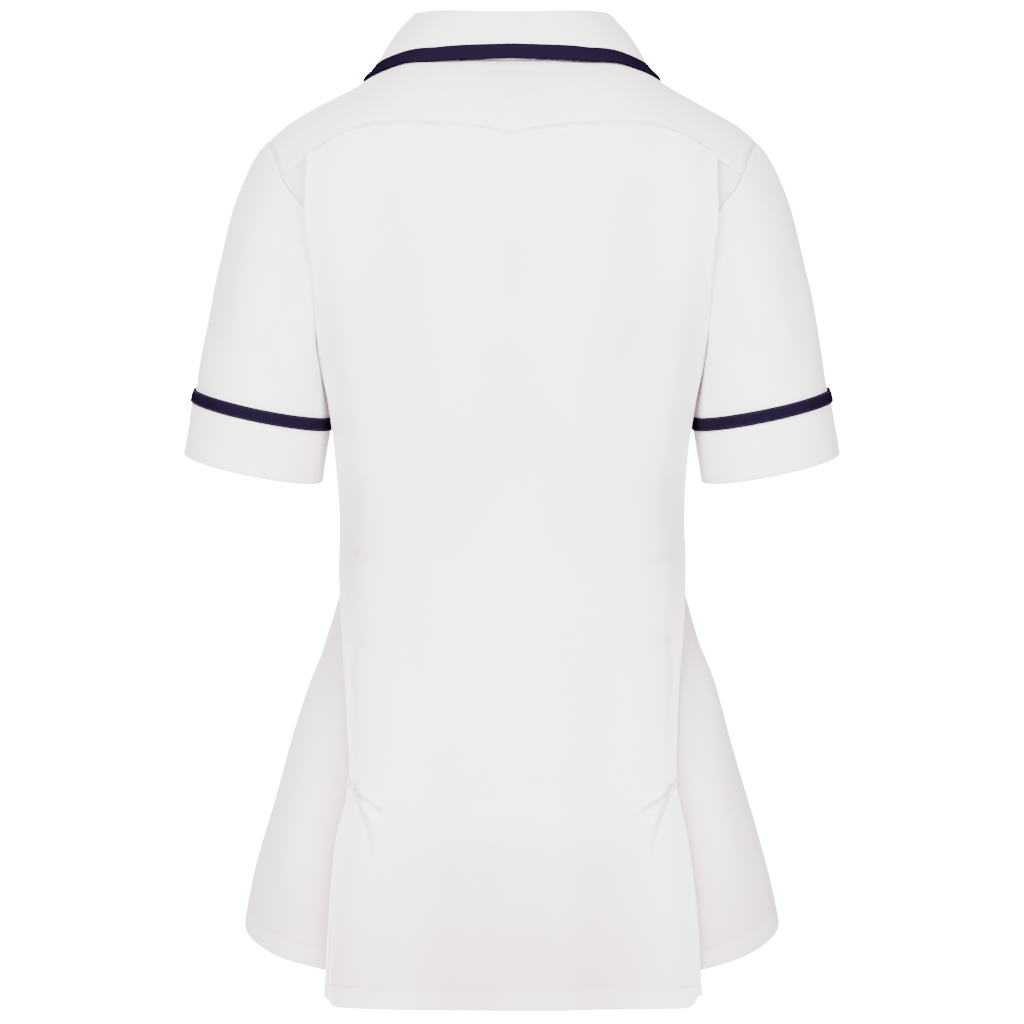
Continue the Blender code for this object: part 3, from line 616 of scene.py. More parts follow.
class Cloth:
    """A cloth sheet through a coarse grid of points, read at any fineness."""

    def __init__(self, grid: Grid, inside: Sequence[float], closed: bool = False) -> None:
        """Take the points and find which way is out.

        Args:
            grid: Rows of points in millimetres.
            inside: A point on the sheet's inner side, in millimetres.
            closed: True where each row runs round a tube.
        """
        base = np.array([[tuple(p) for p in line] for line in grid], float)
        self.rows, self.columns = base.shape[:2]
        self.closed = closed
        self.fields: list[Field] = []
        self.bands: list[Band | SeamDip | FoldShade] = []
        self.rolled = False
        self.reshape: Callable[[Array], Array] | None = None
        base = np.concatenate([2 * base[:1] - base[1:2], base, 2 * base[-1:] - base[-2:-1]])
        left = base[:, -1:] if closed else 2 * base[:, :1] - base[:, 1:2]
        right = base[:, :2] if closed else 2 * base[:, -1:] - base[:, -2:-1]
        self.padded = np.concatenate([left, base, right], axis=1)
        self.sign = 1.0
        middle = np.array([[(self.rows - 1) / 2]]), np.array([[(self.columns - 1) / 2]])
        if float(self.normals(*middle)[0, 0] @ (self.read(*middle)[0, 0] - np.array(inside))) < 0:
            self.sign = -1.0

    @staticmethod
    def weights(t: Array) -> list[Array]:
        """Weights of four neighbours, for a smooth curve through the middle two.

        Args:
            t: Shares of the way from the second to the third.

        Returns:
            The four weights.
        """
        return [
            (-t + 2 * t**2 - t**3) / 2,
            (2 - 5 * t**2 + 3 * t**3) / 2,
            (t + 4 * t**2 - 3 * t**3) / 2,
            (t**3 - t**2) / 2,
        ]

    def read(self, row: Array, column: Array) -> Array:
        """Points of the smooth sheet before any field moves them.

        Args:
            row: Row places, in steps of the coarse grid.
            column: Column places, of the same shape.

        Returns:
            Array of points.
        """
        if self.closed:
            column = np.mod(column, self.columns)
        last_column = self.columns - 1 if self.closed else self.columns - 2
        i = np.clip(np.floor(row).astype(int), 0, self.rows - 2)
        j = np.clip(np.floor(column).astype(int), 0, last_column)
        across, along = self.weights(row - i), self.weights(column - j)
        total = np.zeros(row.shape + (3,))
        for a in range(4):
            for b in range(4):
                total += self.padded[i + a, j + b] * (across[a] * along[b])[..., None]
        return total

    def normals(self, row: Array, column: Array, step: float = 0.05) -> Array:
        """Outward unit normals of the smooth sheet.

        Args:
            row: Row places, in steps of the coarse grid.
            column: Column places, of the same shape.
            step: Reach over which the slopes are measured.

        Returns:
            Array of normals.
        """
        low, high = np.maximum(row - step, 0), np.minimum(row + step, self.rows - 1)
        left, right = column - step, column + step
        if not self.closed:
            left, right = np.maximum(left, 0), np.minimum(right, self.columns - 1)
        down = self.read(high, column) - self.read(low, column)
        return self.sign * unit(np.cross(self.read(row, right) - self.read(row, left), down))

    def face_back(self, row: float, column: float) -> None:
        """Turn the sheet's outer side to the back at a place, where it faces the front."""
        if self.normals(np.array([row]), np.array([column]))[0][1] < 0:
            self.sign = -self.sign

    def spots(self, row: Array, column: Array) -> Spots:
        """Points of the smooth sheet, with their places as shares of it."""
        columns = self.columns if self.closed else self.columns - 1
        return Spots(self.read(row, column), row / (self.rows - 1), column / columns)

    def moved_out(self, points: Array) -> Array:
        """Sum of the sheet's fields at an array of points."""
        return sum((one(points) for one in self.fields), np.zeros(points.shape[:-1]))

    def moved(self, row: Array, column: Array, lift: float = 0.0) -> tuple[Array, Array]:
        """Points after every field, with their normals.

        Args:
            row: Row places in steps of the coarse grid.
            column: Column places.
            lift: A further distance along the normals.

        Returns:
            Points and normals.
        """
        spots = self.spots(row, column)
        normals = self.normals(row, column)
        distance = self.moved_out(spots.points)
        if self.rolled:
            facing = np.sum(normals * unit(spots.points * (0.6, 1, 0)), axis=-1)
            distance = distance * np.clip(2 * facing, -1, 1)
        distance = sum((band(spots) for band in self.bands), distance + lift)
        moved = spots.points + normals * distance[..., None]
        return (self.reshape(moved) if self.reshape else moved), normals

    def shades(self, row: Array, column: Array) -> Array:
        """How much painted shade the cloth gets at its seams, folds, creases, hollows and shade patches, less
        under painted highlights.

        Args:
            row: Row places in steps of the coarse grid.
            column: Column places.

        Returns:
            A number from 0 to 1 for each point.
        """
        spots = self.spots(row, column)
        shaded_creases = [one for one in self.fields if isinstance(one, Crease)]
        total = PLAIN_SHADE - SHADE_OF_HEIGHT * self.moved_out(spots.points)
        for source in [*self.bands, *SHADE_PATCHES, *shaded_creases]:
            total = total + source.shade(spots)
        return np.clip(total, 0, 1)


def placed(name: str, data: bpy.types.ID) -> Item:
    """A new object in the scene.

    Args:
        name: Object name.
        data: Its mesh, lamp or camera.

    Returns:
        The object.
    """
    item = bpy.data.objects.new(name, data)
    bpy.context.scene.collection.objects.link(item)
    return item


@dataclass
class Mesh:
    """Vertices, faces and places on the cloth, collected before an object is made."""

    points: list[Array] = field(default_factory=list)
    places: list[Array] = field(default_factory=list)
    faces: list[Array] = field(default_factory=list)
    shades: list[Array] = field(default_factory=list)
    count: int = 0

    def add(
        self, points: Array, places: Array, faces: Array, shades: Array | None = None
    ) -> None:
        """Add a block of geometry.

        Args:
            points: Array of points in millimetres, of any shape.
            places: The place of each point on the flat cloth in millimetres.
            faces: M by 4 array of corners, counted from 0 in this block.
            shades: Numbers from 0 to 1, how much painted shade the cloth gets there.
        """
        flat = points.reshape(-1, 3)
        self.points.append(flat)
        self.shades.append(np.full(len(flat), PLAIN_SHADE) if shades is None else shades.ravel())
        self.places.append(places.reshape(-1, 2))
        self.faces.append(faces + self.count)
        self.count += len(flat)

    def build(self, name: str, material: Material, sharp: float = 60.0) -> Item:
        """Make the object in metres.

        Args:
            name: Object name.
            material: Its material.
            sharp: Edges with a larger angle than this stay sharp, in degrees.

        Returns:
            The new object.
        """
        points = np.concatenate(self.points) * MM
        places = np.concatenate(self.places)
        faces = np.concatenate(self.faces)
        data = bpy.data.meshes.new(name)
        data.vertices.add(len(points))
        data.vertices.foreach_set("co", points.astype(np.float32).ravel())
        data.loops.add(faces.size)
        data.loops.foreach_set("vertex_index", faces.astype(np.int32).ravel())
        data.polygons.add(len(faces))
        data.polygons.foreach_set("loop_start", np.arange(0, faces.size, faces.shape[1], dtype=np.int32))
        layer = data.uv_layers.new(name="cloth")
        layer.data.foreach_set("uv", (places[faces.ravel()] * MM).astype(np.float32).ravel())
        # Painted shade of each point, which the cloth's material reads.
        shade = data.attributes.new("shade", "FLOAT", "POINT")
        shade.data.foreach_set("value", np.concatenate(self.shades).astype(np.float32))
        data.update(calc_edges=True)
        data.validate()
        data.shade_smooth()
        data.set_sharp_from_angle(angle=math.radians(sharp))
        data.materials.append(material)
        return placed(name, data)


def grid_faces(rows: int, columns: int, closed: bool) -> Array:
    """Quads between neighbouring points of a grid.

    Args:
        rows: Number of rows.
        columns: Number of columns.
        closed: True where the last column joins the first.

    Returns:
        Array of four corners a face.
    """
    i, j = np.meshgrid(np.arange(rows - 1), np.arange(columns if closed else columns - 1), indexing="ij")
    k = (j + 1) % columns
    quads = (i * columns + j, i * columns + k, (i + 1) * columns + k, (i + 1) * columns + j)
    return np.stack(quads, axis=-1).reshape(-1, 4)


def flat_places(points: Array) -> Array:
    """Place of each point of a grid on the flat cloth, from lengths along rows and columns.

    Args:
        points: Rows of points.

    Returns:
        Two lengths a point.
    """
    across, down = np.zeros((2, *points.shape[:2]))
    across[:, 1:] = np.cumsum(np.linalg.norm(np.diff(points, axis=1), axis=-1), axis=1)
    down[1:] = np.cumsum(np.linalg.norm(np.diff(points, axis=0), axis=-1), axis=0)
    across -= across[:, points.shape[1] // 2][:, None]
    return np.stack((across, down), axis=-1)


def shell_object(
    name: str, cloth: Cloth, row: Array, column: Array, wall: float,
    material: Material, lift: float = 0.0,
) -> Item:
    """A closed shell of cloth with rounded edges.

    Args:
        name: Object name.
        cloth: The sheet.
        row: Row places of the fine grid, in steps of the coarse one.
        column: Column places of the fine grid.
        wall: Thickness in millimetres.
        material: Its material.
        lift: Distance of the middle of the wall from the sheet.

    Returns:
        The new object.
    """
    rows, columns = np.meshgrid(row, column, indexing="ij")
    middle, normals = cloth.moved(rows, columns, lift)
    places = flat_places(middle)
    outer, inner = middle + normals * wall / 2, middle - normals * wall / 2
    faces = grid_faces(*middle.shape[:2], cloth.closed)[:, :: 1 if cloth.sign > 0 else -1]
    mesh = Mesh()
    # The outer side carries the painted shade; the inner side has the plain amount.
    mesh.add(outer, places, faces, cloth.shades(rows, columns))
    mesh.add(inner, places, faces[:, ::-1])
    edges = [(0, slice(None), 1), (-1, slice(None), -2)]
    if not cloth.closed:
        edges += [(slice(None), 0, 1), (slice(None), -1, -2)]
    for i, j, beside in edges:
        along_row = isinstance(j, slice)
        away = unit(middle[i, j] - (middle[beside, j] if along_row else middle[i, beside]))
        strip = np.stack((outer[i, j], middle[i, j] + away * wall * 0.35, inner[i, j]))
        strip_places = np.broadcast_to(places[i, j], strip.shape[:2] + (2,))
        mesh.add(strip, strip_places, grid_faces(3, strip.shape[1], cloth.closed and along_row))
    item = mesh.build(name, material)
    weld(item)
    return item


def weld(item: Item, distance: float = 0.00001) -> None:
    """Join points that lie on each other and turn all faces outward.

    Args:
        item: Mesh object.
        distance: Largest gap that is joined, in metres.
    """
    work = bmesh.new()
    work.from_mesh(item.data)
    bmesh.ops.remove_doubles(work, verts=work.verts, dist=distance)
    bmesh.ops.recalc_face_normals(work, faces=work.faces)
    work.to_mesh(item.data)
    work.free()
    item.data.shade_smooth()
    item.data.set_sharp_from_angle(angle=math.radians(70))


@dataclass(frozen=True)
class Stitches:
    """A row of lockstitch threads laid on a sheet, each thread through four rings that dip at its ends."""

    pitch: float = 2.6
    length: float = 2.1
    radius: float = 0.2
    sink: float = 0.02
    sides: int = 5
    stations: tuple[float, ...] = (0, 0.25, 0.75, 1.0)
    rises: tuple[float, ...] = (-0.6, 0.55, 0.55, -0.6)
    swells: tuple[float, ...] = (0.25, 1.0, 1.0, 0.25)

    def mesh_on(self, points: Array, normals: Array, mesh: Mesh) -> None:
        """Add the threads along a line of points.

        Args:
            points: Points of the line in millimetres, close together.
            normals: Outward normals at those points.
            mesh: Where the geometry goes.
        """
        run = run_of(points)
        count = int(run[-1] // self.pitch)
        if count < 1:
            return
        starts = (np.arange(count) + 0.5) * (run[-1] / count) - self.length / 2
        stations = starts[:, None] + np.array(self.stations) * self.length
        at, up = along_line(stations, run, points), along_line(stations, run, normals)
        along = at[:, -1:] - at[:, :1]
        side = np.cross(along / np.linalg.norm(along, axis=-1, keepdims=True), up)
        centre = at + up * (np.array(self.rises)[None, :, None] * self.radius - self.sink)
        thick = np.array(self.swells)[None, :, None] * self.radius
        turns = [turn * 2 * math.pi / self.sides for turn in range(self.sides)]
        rings = [centre + (side * math.cos(turn) + up * math.sin(turn)) * thick for turn in turns]
        block = np.stack(rings, axis=2)
        first = np.arange(count) * self.sides * len(self.stations)
        faces = grid_faces(len(self.stations), self.sides, True)[None] + first[:, None, None]
        mesh.add(block, block[..., (0, 2)], faces.reshape(-1, 4))


def math_node(operation: str, swapped: bool = False) -> Callable[..., "Value"]:
    """A method of Value that puts one Math node between it and other values.

    Args:
        operation: Blender's name of the operation.
        swapped: True where the other value comes first.

    Returns:
        The method.
    """

    def method(self: "Value", *others: Any) -> "Value":
        """The result of the node."""
        inputs = (*others, self) if swapped else (self, *others)
        return self.graph.node("ShaderNodeMath", {"operation": operation}, dict(enumerate(inputs)))

    return method


@dataclass(frozen=True)
class Value:
    """A shader socket that can be used in Python expressions."""

    graph: "Graph"
    socket: bpy.types.NodeSocket

    __add__, __radd__ = math_node("ADD"), math_node("ADD", True)
    __sub__, __mul__, __rmul__ = math_node("SUBTRACT"), math_node("MULTIPLY"), math_node("MULTIPLY", True)
    sin, abs, above = math_node("SINE"), math_node("ABSOLUTE"), math_node("GREATER_THAN")
    larger, smaller = math_node("MAXIMUM"), math_node("MINIMUM")

    def clamp(self) -> "Value":
        """Held between 0 and 1."""
        return self.larger(0.0).smaller(1.0)

    def mix(self, low: "Value", high: "Value") -> "Value":
        """Number between low and high with this as the share."""
        return low + self * (high - low)


Colour = tuple[float, float, float]


class Graph:
    """The node tree of one material, built from Python expressions."""

    def __init__(self, name: str) -> None:
        """Make a material with a Principled shader.

        Args:
            name: Material name.
        """
        self.material = bpy.data.materials.new(name)
        self.material.use_nodes = True
        self.tree = self.material.node_tree
        self.shader = self.tree.nodes["Principled BSDF"]

    def node(
        self, kind: str, settings: dict[str, str] | None = None, inputs: dict | None = None,
        output: int | str = 0,
    ) -> Value:
        """Make a node.

        Args:
            kind: Node type.
            settings: Node settings, set before the sockets.
            inputs: Socket values or wrapped sockets, by socket name or number.
            output: Name or number of the socket that is returned.

        Returns:
            The wrapped output.
        """
        made = self.tree.nodes.new(kind)
        for key, value in (settings or {}).items():
            setattr(made, key, value)
        for key, value in (inputs or {}).items():
            self.feed(made.inputs[key], value)
        return Value(self, made.outputs[output])

    def feed(self, socket: bpy.types.NodeSocket, value: Any) -> None:
        """Link or set one input socket.

        Args:
            socket: The input.
            value: A wrapped socket, or a plain value.
        """
        if isinstance(value, Value):
            self.tree.links.new(value.socket, socket)
        else:
            socket.default_value = value

    def set(self, **inputs: Any) -> None:
        """Feed the shader's own sockets, named with underscores for spaces."""
        for key, value in inputs.items():
            self.feed(self.shader.inputs[key.replace("_", " ")], value)

    def place(self) -> tuple[Value, Value, Value]:
        """Object coordinates in millimetres, as three numbers."""
        return self.split(self.scaled(self.node("ShaderNodeTexCoord", output="Object"), 1000.0))

    def cloth_place(self) -> tuple[Value, Value]:
        """Place on the flat cloth in millimetres."""
        coordinates = self.node("ShaderNodeUVMap", {"uv_map": "cloth"}, output="UV")
        return self.split(self.scaled(coordinates, 1000.0))[:2]

    def scaled(self, vector: Value, factor: Any) -> Value:
        """A vector times a number."""
        sockets = {0: vector, "Scale": factor}
        return self.node("ShaderNodeVectorMath", {"operation": "SCALE"}, sockets, "Vector")

    def split(self, vector: Value) -> tuple[Value, Value, Value]:
        """The three numbers of a vector."""
        outputs = self.node("ShaderNodeSeparateXYZ", inputs={0: vector}).socket.node.outputs
        return tuple(Value(self, outputs[k]) for k in range(3))

    def vector(self, x: Any, y: Any, z: Any) -> Value:
        """A vector of three numbers."""
        return self.node("ShaderNodeCombineXYZ", inputs={0: x, 1: y, 2: z})

    def noise(self, vector: Value, scale: float, detail: float = 3.0, roughness: float = 0.55) -> Value:
        """Noise from 0 to 1."""
        values = {"Vector": vector, "Scale": scale, "Detail": detail, "Roughness": roughness}
        return self.node("ShaderNodeTexNoise", inputs=values, output=0)

    def colour_mix(self, share: Value, low: Colour | Value, high: Colour | Value) -> Value:
        """Mix of two colours."""
        sockets = {0: share, 6: self.colour(low), 7: self.colour(high)}
        return self.node("ShaderNodeMix", {"data_type": "RGBA"}, sockets, 2)

    @staticmethod
    def colour(value: Colour | Value) -> Any:
        """Four numbers for a plain colour, or the wrapped socket as it is."""
        return value if isinstance(value, Value) else (*value, 1.0)

    def bump(self, height: Value, strength: float, distance: float, normal: Value | None = None) -> Value:
        """Normals bent by a height.

        Args:
            height: The height.
            strength: Share of the effect.
            distance: Depth of the height, in metres.
            normal: Normals that are bent further, in place of the plain ones.

        Returns:
            The bent normals.
        """
        values = {"Height": height, "Strength": strength, "Distance": distance}
        if normal is not None:
            values["Normal"] = normal
        return self.node("ShaderNodeBump", inputs=values, output="Normal")


@dataclass(frozen=True)
class WovenFinish:
    """Matt plain-woven cloth of polyester and cotton, with painted shade read from the mesh's shade
    attribute.
    """

    name: str
    light: Colour
    dark: Colour
    thread: float = 0.45
    weave: float = 0.25
    slub: float = 0.3
    sheen: float = 0.12
    roughness: float = 0.82
    # Colour that the painted shade mixes the cloth towards.
    shade: Colour = (0.62, 0.47, 0.55)

    def make(self) -> Material:
        """Build the material.

        Returns:
            The material.
        """
        graph = Graph(self.name)
        x, y, z = graph.place()
        spot = graph.vector(x, y, z)
        across, down = graph.cloth_place()
        warp = (across * (math.pi / self.thread)).sin()
        weft = (down * (math.pi / self.thread)).sin()
        over = (warp * weft).above(0.0)
        threads = over.mix(weft.abs(), warp.abs())
        slubs = graph.noise(graph.vector(across * 0.25, down * 3.0, z * 0.02), 1.0, 2.0)
        soft = graph.noise(spot, 0.012, 3.0)
        fine = graph.noise(spot, 0.11, 4.0)
        grain = graph.noise(spot, 1.6, 2.0)
        share = (soft * 0.55 + fine * 0.3 + slubs * 0.15).clamp()
        # Painted shade: the mesh's shade attribute mixes the woven colour towards the shade colour at seams,
        # folds, creases, hollows and shade patches.
        shade = graph.node("ShaderNodeAttribute", {"attribute_name": "shade"}, output="Fac")
        base = graph.colour_mix(shade, graph.colour_mix(share, self.dark, self.light), self.shade)
        lint = (grain - 0.5) * 0.035 + (slubs - 0.5) * 0.03 + 1.0
        rough = self.roughness + (fine - 0.5) * 0.12 + (threads - 0.5) * 0.05
        crumple = graph.bump(fine, 0.35, 0.0006)
        slubbed = graph.bump(slubs, self.slub, 0.00008, crumple)
        woven = graph.bump(threads, self.weave, 0.00006, slubbed)
        graph.set(
            Base_Color=graph.scaled(base, lint), Roughness=rough, Normal=woven, Sheen_Weight=self.sheen,
            Sheen_Roughness=0.5, Specular_IOR_Level=0.25,
        )
        return graph.material


@dataclass(frozen=True)
class BraidFinish:
    """Narrow ribbed braid, its ribs across its length."""

    name: str
    light: Colour
    dark: Colour
    rib: float = 1.1
    roughness: float = 0.72

    def make(self) -> Material:
        """Build the material.

        Returns:
            The material.
        """
        graph = Graph(self.name)
        x, y, z = graph.place()
        spot = graph.vector(x, y, z)
        across, down = graph.cloth_place()
        ribs = ((across + down * 0.35) * (math.pi / self.rib)).sin().abs()
        lines = (down * (math.pi / 0.6)).sin().abs()
        patches = graph.noise(spot, 0.05, 3.0)
        fuzz = graph.noise(spot, 2.5, 2.0)
        share = (ribs * 0.45 + patches * 0.35 + fuzz * 0.3 - 0.05).clamp()
        rough = self.roughness + (fuzz - 0.5) * 0.2
        height = ribs * 0.7 + lines * 0.2 + fuzz * 0.15
        graph.set(
            Base_Color=graph.colour_mix(share, self.dark, self.light),
            Roughness=rough, Normal=graph.bump(height, 0.55, 0.00025),
            Specular_IOR_Level=0.0,
        )
        return graph.material


@dataclass(frozen=True)
class MetalFinish:
    """Satin metal with fine brushing and slightly duller patches."""

    name: str
    light: Colour
    dark: Colour
    roughness: float = 0.3

    def make(self) -> Material:
        """Build the material.

        Returns:
            The material.
        """
        graph = Graph(self.name)
        x, y, z = graph.place()
        brushing = graph.noise(graph.vector(x * 9.0, y * 9.0, z * 0.5), 1.0, 3.0)
        patches = graph.noise(graph.vector(x, y, z), 0.35, 3.0)
        share = (brushing * 0.4 + patches * 0.6).clamp()
        rough = self.roughness + (brushing - 0.5) * 0.18 + (patches - 0.5) * 0.12
        graph.set(
            Base_Color=graph.colour_mix(share, self.dark, self.light), Roughness=rough,
            Normal=graph.bump(brushing, 0.15, 0.00005), Metallic=1.0,
        )
        return graph.material


@dataclass(frozen=True)
class ThreadFinish:
    """Twisted sewing thread."""

    name: str
    light: Colour
    dark: Colour

    def make(self) -> Material:
        """Build the material.

        Returns:
            The material.
        """
        graph = Graph(self.name)
        x, y, z = graph.place()
        twist = ((x + y * 0.7 + z * 1.3) * 9.0).sin().abs()
        tone = graph.noise(graph.vector(x, y, z), 0.4, 2.0)
        share = (twist * 0.5 + tone * 0.5).clamp()
        graph.set(
            Base_Color=graph.colour_mix(share, self.dark, self.light), Roughness=0.6 + tone * 0.2,
            Normal=graph.bump(twist, 0.4, 0.00005), Specular_IOR_Level=0.3,
        )
        return graph.material


@dataclass(frozen=True)
class Finishes:
    """Every material of the tunic."""

    panel: Material
    flank: Material
    yoke: Material
    hem: Material
    navy: Material
    tape: Material
    coil: Material
    metal: Material
    thread: Material
    navy_thread: Material

    @classmethod
    def make(cls) -> "Finishes":
        """Build them all.

        Returns:
            The set of materials.
        """
        return cls(
            panel=WovenFinish("white_panel", (0.93, 0.91, 0.925), (0.895, 0.875, 0.892)).make(),
            # Painted shade: the side backs are the same white cloth as the centre back, made darker and
            # pinker for the shade on them.
            flank=WovenFinish("white_flank", (0.88, 0.80, 0.85), (0.84, 0.755, 0.81)).make(),
            yoke=WovenFinish("white_yoke", (0.92, 0.885, 0.875), (0.87, 0.84, 0.832)).make(),
            hem=WovenFinish("white_double", (0.925, 0.90, 0.93), (0.89, 0.868, 0.895)).make(),
            navy=BraidFinish("navy_braid", (0.0071, 0.0039, 0.0134), (0.0032, 0.0017, 0.006)).make(),
            tape=WovenFinish("zip_tape_white", (0.86, 0.855, 0.865), (0.8, 0.795, 0.81), thread=0.8).make(),
            coil=BraidFinish("zip_coil_white", (0.84, 0.84, 0.85), (0.72, 0.72, 0.74), 0.5, 0.45).make(),
            metal=MetalFinish("zip_satin_metal", (0.76, 0.76, 0.77), (0.58, 0.58, 0.6)).make(),
            thread=ThreadFinish("white_thread", (0.88, 0.88, 0.88), (0.74, 0.73, 0.75)).make(),
            navy_thread=ThreadFinish("navy_thread", (0.014, 0.009, 0.026), (0.005, 0.003, 0.01)).make(),
        )


@dataclass(frozen=True)
class Cut:
    """The flat cut of what shows of a panel: width, length and area, in metres."""

    width: float
    length: float
    area: float | None
    held: Held


CLOTH_WALL = 1.2
STITCH_LIFT = 0.65
WHOLE_GARMENT: tuple[Field, ...] = (Flutes(-380, -700, 2.6), Drift(0.55, 60))


@dataclass
class Piece:
    """Shared steps for a piece that stands for CAD nodes."""

    torso: Torso
    finishes: Finishes

    @staticmethod
    def join_frame(item: Item, slot: Slot, *nodes: str, body: str = GARMENT) -> Item:
        """Let a piece ride on its body and stand for its nodes.

        Args:
            item: The piece.
            slot: The record's material slot; not used.
            *nodes: CAD nodes that it replaces.
            body: CAD body that it rides on.

        Returns:
            The same object.
        """
        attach(item, body)
        if nodes:
            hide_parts(*nodes)
        return item

    @staticmethod
    def declare(item: Item, cut_name: str) -> None:
        """Take a sheet and the name of its flat cut, and do nothing with them."""

    def lay(
        self, name: str, cloth: Cloth, row: Array, column: Array, material: Material,
        cut_name: str, slot: Slot = Slot.WHITE, wall: float = CLOTH_WALL, lift: float = 0.0,
    ) -> None:
        """Make the shell that stands for a node.

        Args:
            name: The node's name.
            cloth: The sheet.
            row: Row places of the shell.
            column: Column places of the shell.
            material: Its material.
            cut_name: Name of its flat cut; not used.
            slot: The record's material slot.
            wall: Thickness in millimetres.
            lift: Distance of the middle of the wall from the sheet.
        """
        kind = "braid" if slot is Slot.NAVY else "cloth"
        item = shell_object(f"{name}_{kind}", cloth, row, column, wall, material, lift)
        self.declare(self.join_frame(item, slot, name), cut_name)

    @staticmethod
    def panel(side: Side, grid: Grid, inside_z: float, *folds: Crease) -> Cloth:
        """The sheet of a panel on one side, with the garment's slow folds.

        Args:
            side: The wearer's left or right.
            grid: Points of the left panel.
            inside_z: Height of a point in the middle of the hollow.
            *folds: The panel's own creases.

        Returns:
            The sheet.
        """
        cloth = Cloth(side.turned(grid), (0, 0, inside_z))
        cloth.fields += [*WHOLE_GARMENT, *folds]
        return cloth

    def sew(self, name: str, lines: Sequence[tuple[Array, Array]], navy: bool = False) -> None:
        """Lay stitches along lines of points with normals, as one object.

        Args:
            name: Object name.
            lines: Lines, each with its normals.
            navy: True for navy thread.
        """
        mesh = Mesh()
        for points, normals in lines:
            Stitches().mesh_on(points, normals, mesh)
        item = mesh.build(name, self.finishes.navy_thread if navy else self.finishes.thread)
        self.join_frame(item, Slot.NAVY if navy else Slot.WHITE)


def line_on(
    cloth: Cloth, row: Any, column: Any, lift: float, count: int = 400
) -> tuple[Array, Array]:
    """Points and normals along a line over a sheet.

    Args:
        cloth: The sheet.
        row: Row place, as a number, a pair of ends or an array.
        column: Column place, in the same ways.
        lift: Distance out from the sheet.
        count: Points on the line between a pair of ends.

    Returns:
        Points and normals.
    """
    if isinstance(row, tuple):
        row = np.linspace(*row, count)
    if isinstance(column, tuple):
        column = np.linspace(*column, count)
    row, column = np.broadcast_arrays(np.asarray(row, float), np.asarray(column, float))
    return cloth.moved(row, column, lift)


def fine(
    last: int, steps: int, clusters: Sequence[tuple[float, float, int]] = (), edge: float = 0.0
) -> Array:
    """Places along one direction of a coarse grid, closer together round hems and stitch lines.

    Args:
        last: Last place of the coarse grid.
        steps: Even steps between neighbouring coarse places.
        clusters: Ranges that get more places, as (from, to, count).
        edge: How far from both ends the places are closer too.

    Returns:
        Sorted places.
    """
    places = [np.linspace(0, last, last * steps + 1)]
    places += [np.linspace(low, high, count) for low, high, count in clusters]
    if edge > 0:
        near = edge * np.array([0.1, 0.2, 0.32, 0.45, 0.6, 0.8, 1.0])
        places += [near, last - near]
    merged = np.unique(np.round(np.concatenate(places), 5))
    keep = [0]
    for k in range(1, len(merged)):
        if merged[k] - merged[keep[-1]] > 0.004:
            keep.append(k)
    if keep[-1] != len(merged) - 1:
        keep[-1] = len(merged) - 1
    return merged[keep]


def beside_line(at: float) -> tuple[float, float, int]:
    """A cluster of places on both sides of a stitched line."""
    return at - 0.12, at + 0.12, 11


def hem_places(cloth: Cloth, hem_at: float) -> Array:
    """Row places of a panel, closer together beside its hem's stitches."""
    return fine(cloth.rows - 1, 6, [beside_line(hem_at)], 0.3)


@dataclass
class Yoke(Piece):
    """The yoke over both shoulders, with the tape over its neck seam."""

    back_columns: int = 17
    neck_at_corner: float = 0.62
    tape_half_length: float = 54
    tape_wall: float = 0.5
    tape_lift: float = 1.0

    def grid(self, fold_top_x: float) -> Grid:
        """Rungs from the neck seam out to the front seam, the armholes and the back seam.

        Args:
            fold_top_x: Where the pleat's fold meets the yoke seam.

        Returns:
            The rungs.
        """
        torso = self.torso
        rungs = torso.armhole_steps(torso.yoke_front_step, len(torso.armhole) + torso.yoke_back_step)
        outer, inner = [], []
        for step, along in zip(rungs, spread(1 + torso.yoke_front_at_neck, self.neck_at_corner, len(rungs))):
            point = torso.armhole_point(step)
            outer.append((point.x, torso.hood_turn(point.x, point.z, point.y >= 0)))
            inner.append(torso.neck_turn(along))
        corner_x = torso.yoke_corner.x
        for x in [blend(corner_x, fold_top_x, 0.5)] + spread(fold_top_x, 0, (self.back_columns + 1) // 2):
            outer.append((x, torso.hood_turn(x, torso.yoke_seam_z(x), True)))
            inner.append(torso.neck_turn(self.neck_at_corner * x / corner_x))
        shares = spread(0, 1, 8)
        left = [
            [torso.hood_point(blend(x_in, x_out, c), blend(turn_in, turn_out, c)) for c in shares]
            for (x_in, turn_in), (x_out, turn_out) in zip(inner, outer)
        ]
        return pull_in(left + mirrored(left[:-1])[::-1])

    def build(self, fold_top_x: float) -> None:
        """Make the yoke and the tape.

        Args:
            fold_top_x: Where the pleat's fold meets the yoke seam.
        """
        cloth = self.panel(Side.LEFT, self.grid(fold_top_x), -300)
        cloth.bands.append(SeamDip(450, 85, left=False))
        row, column = fine(cloth.rows - 1, 6, edge=0.3), fine(cloth.columns - 1, 8, edge=0.4)
        self.lay("yoke", cloth, row, column, self.finishes.yoke, "yoke")
        middle = (cloth.rows - 1) / 2
        reach = np.linspace(0, 4, 200)
        neck_x = np.abs(cloth.read(middle + reach, np.zeros(200))[:, 0])
        half = float(np.interp(self.tape_half_length, neck_x, reach))
        row, column = np.linspace(middle - half, middle + half, 90), np.linspace(0.02, 1.1, 9)
        tape = shell_object(
            "neck_tape_cloth", cloth, row, column, self.tape_wall, self.finishes.tape, self.tape_lift
        )
        self.declare(self.join_frame(tape, Slot.WHITE), "neck_tape")
